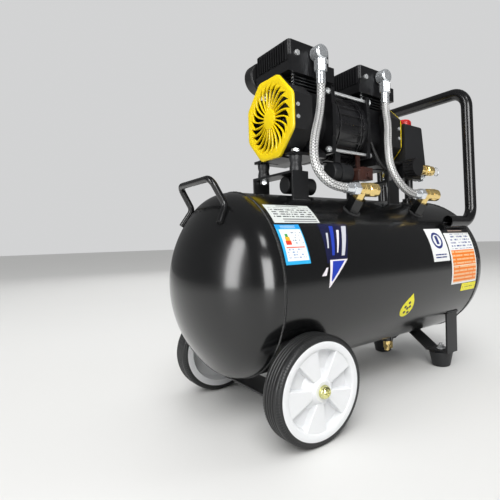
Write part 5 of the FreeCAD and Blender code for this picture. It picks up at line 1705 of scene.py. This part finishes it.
@dataclass
class Castings:
    """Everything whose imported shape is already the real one."""

    shop: Shop
    strap_drop: float = 0.012
    strap_x: float = -0.053
    strap_half: float = 0.004
    frame_reach: float = 0.008
    valve_y: float = -0.07

    def split(self, node: str, name: str, rounding: float, first: Finish, second: Finish,
              is_second: Callable[[Vector], bool]) -> None:
        """Copy a node whose solids have two finishes.

        Args:
            node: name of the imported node.
            name: name of the piece.
            rounding: width of the edge rounding.
            first: finish of most solids.
            second: finish of the others.
            is_second: tells the others by their middle.
        """
        piece = split_finish(copy_of(node, name, rounding), lambda place: int(is_second(place)))
        self.shop.hand_over(piece, [first, second], node)

    def build(self) -> None:
        """Copy, round and dress each node."""
        for item in CARRIED:
            piece = copy_of(item.node, item.name, item.rounding, item.segments)
            self.shop.hand_over(piece, [item.finish], item.node)
        strap_z = span_of("start_capacitor").middle.z + self.strap_drop
        frame_x = span_of("unloader_valve").middle.x - self.frame_reach
        self.split("start_capacitor", "capacitors", 0.0005, SWITCH_PLASTIC, BRIGHT_ZINC,
                   lambda place: place.z > strap_z and abs(place.x - self.strap_x) < self.strap_half)
        self.split("unloader_valve", "unloader", 0.0008, BRIGHT_ZINC, BROWN_BLOCK,
                   lambda place: place.x >= frame_x)
        self.split("outlet_fittings", "outlets", 0.0005, BRASS, NICKEL,
                   lambda place: place.y >= self.valve_y)


# ---- fan guards ------------------------------------------------------------------------
@dataclass
class Guards:
    """Two yellow octagonal guards with a swirl of curved ribs."""

    shop: Shop
    ribs: int = 24
    opening: float = 0.0605
    hub: float = 0.0178
    swirl: float = 0.22
    rib_inner: float = 0.0021
    rib_outer: float = 0.0032
    flare_from: float = 0.0500
    corner_cut: float = 1.062
    lip: Profile = ((0.0012, 0.0), (0.0003, 0.0012), (0.0, 0.0024))
    edge: Profile = ((0.0, 0.0022), (0.0006, 0.0008), (0.0022, 0.0))
    hub_edge: Profile = ((-0.0012, 0.0), (-0.0004, 0.0006), (0.0, 0.002))
    screws: int = 3
    screw: Profile = ((-0.001, 0.0), (-0.001, 0.0019), (-0.0001, 0.0017), (0.0, 0.0))
    screw_reach: float = 0.0105
    steps: int = 160
    rib_steps: int = 18
    rib_tuck: tuple[float, float] = (0.002, 0.0014)
    rib_curve: tuple[float, float, float] = (0.35, 0.65, 2.2)
    rib_back: float = 0.0002
    rib_shoulder: float = 0.0012
    rib_chamfer: float = 0.25
    flare_growth: float = 1.1
    crease: float = 36.0

    def guard(self, side: Side) -> None:
        """Make one guard.

        Args:
            side: which end of the pump.
        """
        name = side.name.lower()
        packed = span_of(f"fan_grille_{name}")
        out = AXIS_X * side.value
        front = packed.high.x if side is Side.RIGHT else packed.low.x
        thick = packed.size.x
        inradius = packed.size.z / 2
        face = Vector((front, 0, packed.middle.z))
        yellow = self.shop.paint(YELLOW_PLASTIC)

        def around(depth: float, reach: Callable[[float], float]) -> list[Vector]:
            """Lay a ring of points.

            Args:
                depth: distance behind the front face.
                reach: distance from the middle in a direction.

            Returns:
                The ring.
            """
            turns = [TURN * step / self.steps for step in range(self.steps)]
            return [face - out * depth + spoke(AXIS_Y, AXIS_Z, turn) * reach(turn) for turn in turns]

        def octagon(inset: float) -> Callable[[float], float]:
            """Make the outline of an octagon with its corners cut.

            Args:
                inset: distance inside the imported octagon.

            Returns:
                The distance from the middle in a direction.
            """
            def reach(turn: float) -> float:
                """Distance in one direction."""
                off = (turn + math.pi / 8) % (math.pi / 4) - math.pi / 8
                return (inradius - inset) * min(1 / math.cos(off), self.corner_cut)
            return reach

        def circle(wider: float = 0.0) -> Callable[[float], float]:
            """Distance from the middle to the opening's edge."""
            return lambda turn: self.opening + wider

        rings = [around(depth, circle(wider)) for depth, wider in self.lip]
        rings += [around(depth, octagon(inset)) for depth, inset in (*self.edge, (thick, 0.0))]
        border = Form().loops(rings + [around(thick, circle())], True)
        profile = [(-thick, 0.0), (-thick, self.hub)]
        profile += [(along, self.hub - inset) for along, inset in self.hub_edge] + [(0.0, 0.0)]
        disc = Form().lathe(profile, face, out, 64)
        for step in range(self.screws):
            turn = TURN * (step + 0.25) / self.screws
            spot = face + spoke(AXIS_Y, AXIS_Z, turn) * self.screw_reach
            disc.lathe(self.screw, spot - out * 0.00002, out, 16)
        pieces = [self.shop.built("guard_frame", border), self.shop.built("guard_hub", disc)]
        for piece in pieces:
            piece.data.materials.append(yellow)
        rib = Form().loops(self.rib_rings(side, face, thick)).plain("guard_rib")
        pieces.append(self.shop.repeat.round_axis(rib, self.ribs, AXIS_X, face, yellow))
        piece = smoothed(joined(f"guard_{name}", pieces), self.crease)
        self.shop.hand_over(piece, None, f"fan_grille_{name}")

    def rib_rings(self, side: Side, face: Vector, thick: float) -> list[list[Vector]]:
        """Sections of one rib, curved and flared to one side near its outer end.

        Args:
            side: which guard.
            face: middle of the guard's front.
            thick: depth of the guard.

        Returns:
            Equal rings of points from the hub outwards.
        """
        rings = []
        start, stop = self.hub - self.rib_tuck[0], self.opening + self.rib_tuck[1]
        straight, curved, power = self.rib_curve
        for step in range(self.rib_steps + 1):
            share = step / self.rib_steps
            reach = start + (stop - start) * share
            middle = self.swirl * (straight * share + curved * share ** power)
            wide = (self.rib_inner + (self.rib_outer - self.rib_inner) * share) / reach
            over = max(0.0, (reach - self.flare_from) / (self.opening - self.flare_from))
            flare = (TURN / self.ribs - wide) * min(1.0, over) ** self.flare_growth
            low, high = middle - wide / 2, middle + wide / 2 + flare
            inset = self.rib_chamfer * wide
            back, top = thick - self.rib_back, self.rib_back
            corners = ((back, low), (back, high), (self.rib_shoulder, high), (top, high - inset),
                       (top, low + inset), (self.rib_shoulder, low))
            rings.append([face - AXIS_X * side.value * depth
                          + spoke(AXIS_Y, AXIS_Z, -side.value * turn) * reach
                          for depth, turn in corners])
        return rings

    def build(self) -> None:
        """Make both guards."""
        for side in Side:
            self.guard(side)


# ---- handles ---------------------------------------------------------------------------
@dataclass
class Handles:
    """The lifting handle on the wheel end and the push bar over the other."""

    shop: Shop
    tank: Tank
    rod: float = 0.005
    tube: float = 0.0125
    wall: float = 0.0015
    push_y: float = 0.128
    push_bend: float = 0.034
    push_reach: tuple[float, float] = (0.0155, 0.0035)
    sink: float = 0.0003
    lift_bend: float = 0.0125
    lift_feet: tuple[Point, ...] = ((0.0545, 0.012, 1.3), (0.0395, 0.002, 1.1))
    splay: float = 0.012
    sides: int = 40

    def push_bar(self) -> None:
        """Make the push bar as a bent tube with open ends."""
        packed = span_of("push_handle")
        reach = self.tank.radius + self.tube - self.sink
        low = self.tank.axis_z + math.sqrt(reach ** 2 - self.push_y ** 2)
        foot, top = (self.tank.half + past for past in self.push_reach)
        high = packed.high.z - self.tube
        near = [(packed.low.x, -self.push_y, low), (foot, -self.push_y, low), (top, -self.push_y, high)]
        far = [(x, -y, z) for x, y, z in reversed(near)]
        route = bent(near + far, self.push_bend, 14)
        skins = [tube_rings(route, radius, self.sides) for radius in (self.tube, self.tube - self.wall)]
        form = Form().loops(skins[0] + skins[1][::-1], closed=True)
        self.shop.hand_over(self.shop.built("push_bar", form), [BAR_PAINT], "push_handle")

    def lifting_handle(self) -> None:
        """Make the bent rod whose ends lie along the dome."""
        packed = span_of("carry_handle")
        half = packed.size.y / 2 - self.rod - self.splay

        def dome_height(x: float, y: float) -> float:
            """Height of the dome's surface over the tank's axis.

            Args:
                x: place along the tank.
                y: distance from the middle plane.

            Returns:
                The height.
            """
            profile = self.tank.dome(40)
            for before, after in zip(profile, profile[1:]):
                if before[0] <= abs(x) <= after[0]:
                    share = (abs(x) - before[0]) / (after[0] - before[0])
                    radius = before[1] + (after[1] - before[1]) * share
                    return math.sqrt(radius ** 2 - y ** 2)
            return self.tank.radius

        side = []
        for past, wider, lift in self.lift_feet:
            x, y = -self.tank.half - past, half + wider
            side.append((x, -y, self.tank.axis_z + dome_height(x, y) + lift * (self.rod - 0.0008)))
        side.append((packed.low.x + self.rod, -half, packed.high.z - self.rod))
        other = [(x, -y, z) for x, y, z in reversed(side)]
        form = Form().tube(bent(side + other, self.lift_bend, 8), self.rod, 28)
        piece = self.shop.built("lifting_handle", form, 0.0009, 2, 60.0)
        self.shop.hand_over(piece, [BAR_PAINT], "carry_handle")

    def build(self) -> None:
        """Make both handles."""
        self.push_bar()
        self.lifting_handle()


# ---- hoses and lead --------------------------------------------------------------------
@dataclass(frozen=True)
class CordRoute:
    """Route of one hose or lead, in metres, with its diameter."""

    name: str
    node: str
    points: tuple[tuple[float, float, float], ...]
    diameter: float
    length: float
    braided: bool


CORDS: tuple[CordRoute, ...] = (
    CordRoute("delivery_hose_left", "hose_left", (
        (-0.113, -0.066, 0.570), (-0.113, -0.066, 0.546), (-0.122, -0.070, 0.505),
        (-0.158, -0.096, 0.454), (-0.167, -0.105, 0.415), (-0.157, -0.113, 0.390),
        (-0.133, -0.12005, 0.37516), (-0.1046, -0.12005, 0.37516)), 0.015, 0.2567, True),
    CordRoute("delivery_hose_right", "hose_right", (
        (0.059, -0.066, 0.570), (0.059, -0.066, 0.548), (0.048, -0.081, 0.511),
        (0.015, -0.106, 0.467), (0.008, -0.116, 0.420), (0.028, -0.124, 0.388),
        (0.063, -0.12005, 0.37516), (0.0824, -0.12005, 0.37516)), 0.015, 0.2631, True),
    CordRoute("motor_cable", "motor_lead", (
        (0.020, -0.051, 0.497), (0.023, -0.066, 0.458), (0.034, -0.075, 0.430),
        (0.060, -0.070, 0.426), (0.082, -0.064, 0.4456), (0.100, -0.064, 0.4456)),
        0.006, 0.143, False))


@dataclass
class Cords:
    """The two braided delivery hoses and the motor's lead."""

    shop: Shop
    bands: int = 7
    per_band: int = 8
    squeeze: float = 0.80
    relief: float = 0.0007
    lead_sides: int = 24
    lead_step: float = 0.0015

    @staticmethod
    def line(route: CordRoute) -> list[Vector]:
        """Read the smooth spline that a route's control points give.

        Args:
            route: the cord's route.

        Returns:
            Points along the spline.
        """
        curve = bpy.data.curves.new(route.name, "CURVE")
        curve.dimensions = "3D"
        curve.resolution_u = 40
        spline = curve.splines.new("NURBS")
        spline.points.add(len(route.points) - 1)
        for point, place in zip(spline.points, route.points):
            point.co = (*place, 1.0)
        spline.order_u = 3
        spline.use_endpoint_u = True
        holder = new_object(route.name + "_line", curve)
        bpy.context.view_layer.update()
        graph = bpy.context.evaluated_depsgraph_get()
        data = bpy.data.meshes.new_from_object(holder.evaluated_get(graph), depsgraph=graph)
        points = [vert.co.copy() for vert in data.vertices]
        bpy.data.objects.remove(holder)
        bpy.data.meshes.remove(data)
        return points

    @staticmethod
    def evenly(points: Sequence[Vector], step: float) -> list[Vector]:
        """Points at even steps along a line.

        Args:
            points: points of the line.
            step: wanted distance from point to point.

        Returns:
            The new points, with both ends kept.
        """
        reach = [0.0]
        for before, after in zip(points, points[1:]):
            reach.append(reach[-1] + (after - before).length)
        count = max(2, round(reach[-1] / step))
        result, index = [], 0
        for number in range(count + 1):
            target = reach[-1] * number / count
            while index < len(reach) - 2 and reach[index + 1] < target:
                index += 1
            span = reach[index + 1] - reach[index] or 1.0
            result.append(points[index].lerp(points[index + 1], (target - reach[index]) / span))
        return result

    def height(self, around: float, along: float) -> float:
        """Height of the braid at a place.

        Args:
            around: bands round the hose.
            along: bands along the hose.

        Returns:
            0 in a gap to 1 on the crown of a band.
        """
        left, right = around + along, around - along
        over = (math.floor(left) + math.floor(right)) % 2 == 1
        return abs(math.sin(math.pi * (left if over else right)))

    def tube(self, route: CordRoute, points: Sequence[Vector]) -> Piece:
        """Make the tube along a line, with its own map and, on a hose, the raised braid.

        Args:
            route: the cord.
            points: even points along its line.

        Returns:
            The tube.
        """
        radius = route.diameter / 2
        sides = self.bands * self.per_band if route.braided else self.lead_sides
        pitch = TURN * radius / self.bands * self.squeeze
        verts, gone, sheet = [], 0.0, []
        for index, (point, (first, second)) in enumerate(zip(points, frames_along(points))):
            if index:
                gone += (point - points[index - 1]).length
            sheet.append(gone / pitch)
            for step in range(sides):
                reach = radius
                if route.braided:
                    band = self.height(self.bands * step / sides, gone / pitch)
                    reach = radius - self.relief * (1 - band)
                verts.append(point + spoke(first, second, TURN * step / sides) * reach)
        faces, maps = [], []
        for row in range(len(points) - 1):
            for step in range(sides):
                after = (step + 1) % sides
                faces.append((row * sides + step, row * sides + after,
                              (row + 1) * sides + after, (row + 1) * sides + step))
                u0, u1 = self.bands * step / sides, self.bands * (step + 1) / sides
                v0, v1 = sheet[row], sheet[row + 1]
                maps.extend([(u0, v0), (u1, v0), (u1, v1), (u0, v1)])
        last = (len(points) - 1) * sides
        faces.append(tuple(reversed(range(sides))))
        faces.append(tuple(last + step for step in range(sides)))
        maps.extend([(0.0, 0.0)] * (2 * sides))
        data = bpy.data.meshes.new(route.name)
        data.from_pydata([tuple(vert) for vert in verts], [], faces)
        layer = data.uv_layers.new(name="braid")
        layer.data.foreach_set("uv", [value for pair in maps for value in pair])
        return smoothed(new_object(route.name, data), 70.0)

    def build(self) -> None:
        """Make each cord."""
        for route in CORDS:
            line = self.line(route)
            pitch = TURN * route.diameter / 2 / self.bands * self.squeeze
            step = pitch / self.per_band if route.braided else self.lead_step
            piece = self.tube(route, self.evenly(line, step))
            finish = BraidFinish("steel_braid") if route.braided else LEAD_SHEATH
            self.shop.hand_over(piece, [finish], route.node)
            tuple(route.points[0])
            [tuple(point) for point in line]


# ---- controls --------------------------------------------------------------------------
SLEEVE_SECTION: Corners = (
    ("start", 0.0006, "outside", -0.0004), ("start", 0.0, "outside", -0.001), ("start", 0.0, "bore", 0.0),
    ("end", 0.0, "bore", 0.0), ("end", 0.0, "outside", -0.001), ("end", -0.0006, "outside", -0.0004),
    ("end", -0.0055, "outside", -0.0004), ("end", -0.0062, "outside", -0.0014),
    ("start", 0.0072, "outside", -0.0014), ("start", 0.0065, "outside", -0.0004))


@dataclass
class Controls:
    """The gauge with its dial, and the coupler's knurled sleeve."""

    shop: Shop
    numbers: tuple[int, ...] = (0, 2, 4, 6, 8, 10, 12)
    sweep: float = 270.0
    long_mark: tuple[float, float] = (0.0026, 0.0007)
    short_mark: tuple[float, float] = (0.0015, 0.00035)
    mark_inset: float = 0.0010
    figure_size: float = 0.0042
    figure_inset: float = 0.0062
    bezel: float = 0.0026
    dial_depth: float = 0.0100
    glass_depth: float = 0.0032
    bore: float = 0.00806
    knurl: float = 0.0005
    knurls: int = 48
    knurl_band: tuple[float, float, float] = (0.0007, 0.0062, 0.0009)

    def sleeve(self) -> None:
        """Make the sliding sleeve with its two knurled bands."""
        packed = span_of("coupler_sleeve")
        radius, length = packed.size.z / 2, packed.size.x
        start = Vector((packed.low.x, packed.middle.y, packed.middle.z))
        profile = section(SLEEVE_SECTION, {"start": 0.0, "end": length},
                          {"outside": radius, "bore": self.bore})
        body = self.shop.built("sleeve_body", Form().lathe(profile, start, AXIS_X, 96, closed=True))
        nickel = self.shop.paint(NICKEL)
        body.data.materials.append(nickel)
        rings = [body]
        first, last, end = self.knurl_band
        for band in ((first, last), (length - last + end, length - first)):
            ends = [start + AXIS_X * along + AXIS_Z * (radius - self.knurl) for along in band]
            bar = Form().tube(ends, self.knurl, 6).plain(f"knurl_{len(rings)}")
            rings.append(self.shop.repeat.round_axis(bar, self.knurls, AXIS_X, start, nickel))
        self.shop.hand_over(smoothed(joined("coupler_ring", rings), EDGE_ANGLE), None, "coupler_sleeve")

    def dial_marks(self, centre: Vector, top: float, radius: float) -> list[Piece]:
        """Make the scale of the dial: long marks, short marks and numbers.

        Args:
            centre: middle of the gauge.
            top: place of the card's face along Y.
            radius: radius of the card.

        Returns:
            The marks.
        """
        ink = self.shop.paint(PAPER_INK)
        half = math.radians(self.sweep / 2)
        begin = Matrix.Translation(centre) @ Matrix.Rotation(half, 4, "Y") @ Matrix.Translation(-centre)
        outer = centre.z + radius - self.mark_inset
        marks = []
        for count, low, wide in ((len(self.numbers), *self.long_mark), (31, *self.short_mark)):
            bar = Form().block((centre.x - wide / 2, top, outer - low),
                               (centre.x + wide / 2, top + 0.0001, outer)).plain(f"mark_{count}")
            bar.data.transform(begin)
            turn = -2 * half / (count - 1)
            marks.append(self.shop.repeat.round_axis(bar, count, AXIS_Y, centre, ink, turn))
        stand = Matrix.Rotation(math.pi, 4, "Z") @ Matrix.Rotation(math.pi / 2, 4, "X")
        for index, number in enumerate(self.numbers):
            text = bpy.data.curves.new(f"figure_{number}", "FONT")
            text.body = str(number)
            text.size = self.figure_size
            text.align_x = text.align_y = "CENTER"
            text.extrude = 0.00005
            figure = baked(new_object(f"figure_{number}", text))
            turn = half - 2 * half * index / (len(self.numbers) - 1)
            place = spoke(AXIS_Z, AXIS_X, turn) * (radius - self.figure_inset)
            place += Vector((centre.x, top + 0.00006, centre.z))
            figure.data.transform(Matrix.Translation(place) @ stand)
            figure.data.materials.clear()
            figure.data.materials.append(ink)
            marks.append(figure)
        return marks

    def gauge(self) -> None:
        """Dress the gauge case and give it a dial with marks, numbers and glass."""
        case = copy_of("pressure_gauge", "gauge_body", 0.0005)
        self.shop.hand_over(case, [NICKEL], "pressure_gauge")
        packed = span_of("pressure_gauge")
        joint = next(item for item in RECORD["behaviour"]["joints"] if item["name"] == "gauge_needle_turn")
        centre = Vector(joint["pos_m"])
        radius = packed.size.z / 2 - self.bezel
        dial_y = packed.high.y - self.dial_depth
        card = Form().lathe([(0.0, 0.0016), (0.0, radius), (0.0004, radius), (0.0004, 0.0016)],
                            (centre.x, dial_y, centre.z), AXIS_Y, 96, closed=True)
        self.shop.hand_over(self.shop.built("dial", card), [WHITE_PAPER], body=ROOT, slot="label_paper")
        marks = joined("dial_marks", self.dial_marks(centre, dial_y + 0.00045, radius))
        self.shop.hand_over(marks, None, body=ROOT, slot="needle_black")
        rim = radius - 0.0001
        glass = Form().lathe([(0.0, 0.0), (0.0, rim), (0.0012, rim), (0.0012, 0.0)],
                             (centre.x, packed.high.y - self.glass_depth, centre.z), AXIS_Y, 96)
        self.shop.hand_over(self.shop.built("gauge_pane", glass), [GlassFinish("gauge_window")],
                            body=ROOT, slot="gauge_glass")

    def build(self) -> None:
        """Make every control."""
        self.sleeve()
        self.gauge()


# ---- studio ----------------------------------------------------------------------------
@dataclass(frozen=True)
class SoftBox:
    """One soft light: where it stands, where it points, its size, power and tint."""

    name: str
    place: Point
    aim: Point
    size: tuple[float, float]
    power: float
    tint: Colour = (1.0, 1.0, 1.0)
    mirrored: bool = True
    spread: bool = True


SOFT_BOXES: tuple[SoftBox, ...] = (
    SoftBox("key", (-1.8, -2.2, 2.4), (0.0, 0.0, 0.3), (1.8, 1.8), 42.0, (1.0, 0.99, 0.97), False),
    SoftBox("left_strip", (-2.6, -0.25, 1.02), (-0.2, 0.0, 0.3), (0.60, 1.9), 33.0, spread=False),
    SoftBox("near_strip", (-1.05, -2.7, 0.92), (-0.2, 0.0, 0.3), (1.35, 1.7), 66.0, spread=False),
    SoftBox("top", (0.2, 0.1, 2.8), (0.0, 0.0, 0.4), (2.6, 1.6), 22.0, mirrored=False),
    SoftBox("left_fill", (-2.6, 0.3, 1.5), (-0.2, 0.0, 0.4), (1.4, 1.4), 20.0, mirrored=False),
    SoftBox("pump_glint", (-0.6, -1.6, 2.2), (0.0, 0.0, 0.5), (0.5, 0.5), 6.0),
    SoftBox("right_fill", (2.4, -1.6, 1.4), (0.1, 0.0, 0.4), (1.2, 1.6), 20.0, (0.96, 0.98, 1.0), False),
    SoftBox("back_fill", (0.8, 2.8, 1.8), (0.0, 0.0, 0.4), (1.8, 1.2), 20.0, mirrored=False))


@dataclass
class Studio:
    """Pale floor, soft lights and the camera."""

    shop: Shop
    eye: Point = (-0.5797, -0.5951, 0.2948)
    yaw: float = 40.616
    pitch: float = -1.065
    roll: float = -1.543
    lens: float = 28.881
    shift: tuple[float, float] = (-0.13948, -0.01064)
    floor_radius: float = 14.0
    floor_depth: float = 0.02
    sensor: float = 36.0
    air_tone: Colour = (0.90, 0.905, 0.91)
    air_strength: float = 0.16
    air_seen: float = 0.72
    day_strength: float = 2.0
    day_softness: float = 50.0
    day_course: Point = (0.42, 0.50, -1.0)

    def floor(self) -> None:
        """Lay the floor."""
        wide, deep = self.floor_radius, self.floor_depth
        disc = Form().lathe([(-deep, 0.0), (-deep, wide), (0.0, wide), (0.0, 0.0)], (0, 0, 0), AXIS_Z, 96)
        ground = self.shop.built("floor", disc)
        ground.data.materials.append(self.shop.paint(FloorFinish("floor_paint")))

    def air(self) -> None:
        """Fill the room with soft light."""
        world = bpy.data.worlds.new("studio_air")
        world.use_nodes = True
        tree = Tree(world.node_tree)
        seen = tree.ranged(tree.node("ShaderNodeLightPath").outputs["Is Camera Ray"],
                           To_Min=self.air_strength, To_Max=self.air_seen)
        tree.wire(world.node_tree.nodes["Background"], Color=self.air_tone, Strength=seen)
        bpy.context.scene.world = world
        bpy.context.scene.view_settings.view_transform = "Standard"

    def light(self, box: SoftBox) -> None:
        """Hang one soft light.

        Args:
            box: the light.
        """
        lamp = bpy.data.lights.new(box.name, "AREA")
        lamp.shape = "RECTANGLE"
        lamp.size, lamp.size_y = box.size
        lamp.energy = box.power
        lamp.color = box.tint
        holder = new_object(box.name, lamp)
        holder.visible_glossy = box.mirrored
        holder.visible_diffuse = box.spread
        holder.location = box.place
        look = Vector(box.aim) - Vector(box.place)
        holder.rotation_euler = look.to_track_quat("-Z", "Y").to_euler()

    def day(self) -> None:
        """Light the whole floor evenly from high up."""
        lamp = bpy.data.lights.new("day", "SUN")
        lamp.energy, lamp.angle = self.day_strength, math.radians(self.day_softness)
        holder = new_object("day", lamp)
        holder.visible_glossy = False
        holder.rotation_euler = Vector(self.day_course).to_track_quat("-Z", "Y").to_euler()

    def camera(self) -> None:
        """Place the camera."""
        yaw, pitch, roll = (math.radians(value) for value in (self.yaw, self.pitch, self.roll))
        ahead = spoke(spoke(AXIS_Y, AXIS_X, yaw), AXIS_Z, pitch)
        right = spoke(AXIS_X, -AXIS_Y, yaw)
        up = right.cross(ahead)
        across, upward = spoke(right, up, roll), spoke(up, -right, roll)
        data = bpy.data.cameras.new("camera")
        data.sensor_width = self.sensor
        data.lens = self.lens
        data.shift_x, data.shift_y = self.shift
        data.clip_start = 0.01
        holder = new_object("camera", data)
        turn = Matrix((across, upward, -ahead)).transposed().to_4x4()
        holder.matrix_world = Matrix.Translation(Vector(self.eye)) @ turn
        bpy.context.scene.camera = holder

    def build(self) -> None:
        """Set everything up."""
        self.floor()
        self.air()
        for box in SOFT_BOXES:
            self.light(box)
        self.day()
        self.camera()


def main() -> None:
    """Build the compressor's visible pieces in order."""
    logging.basicConfig(level=logging.INFO, format="%(name)s: %(message)s")
    shop = Shop()
    Studio(shop).build()
    Cords(shop).build()
    tank = Tank(shop)
    tank.build()
    Labels(shop, tank).build()
    Handles(shop, tank).build()
    Wheels(shop).build()
    Castings(shop).build()
    Guards(shop).build()
    Controls(shop).build()
    LOG.info("all pieces built")


if __name__ == "__main__":
    main()
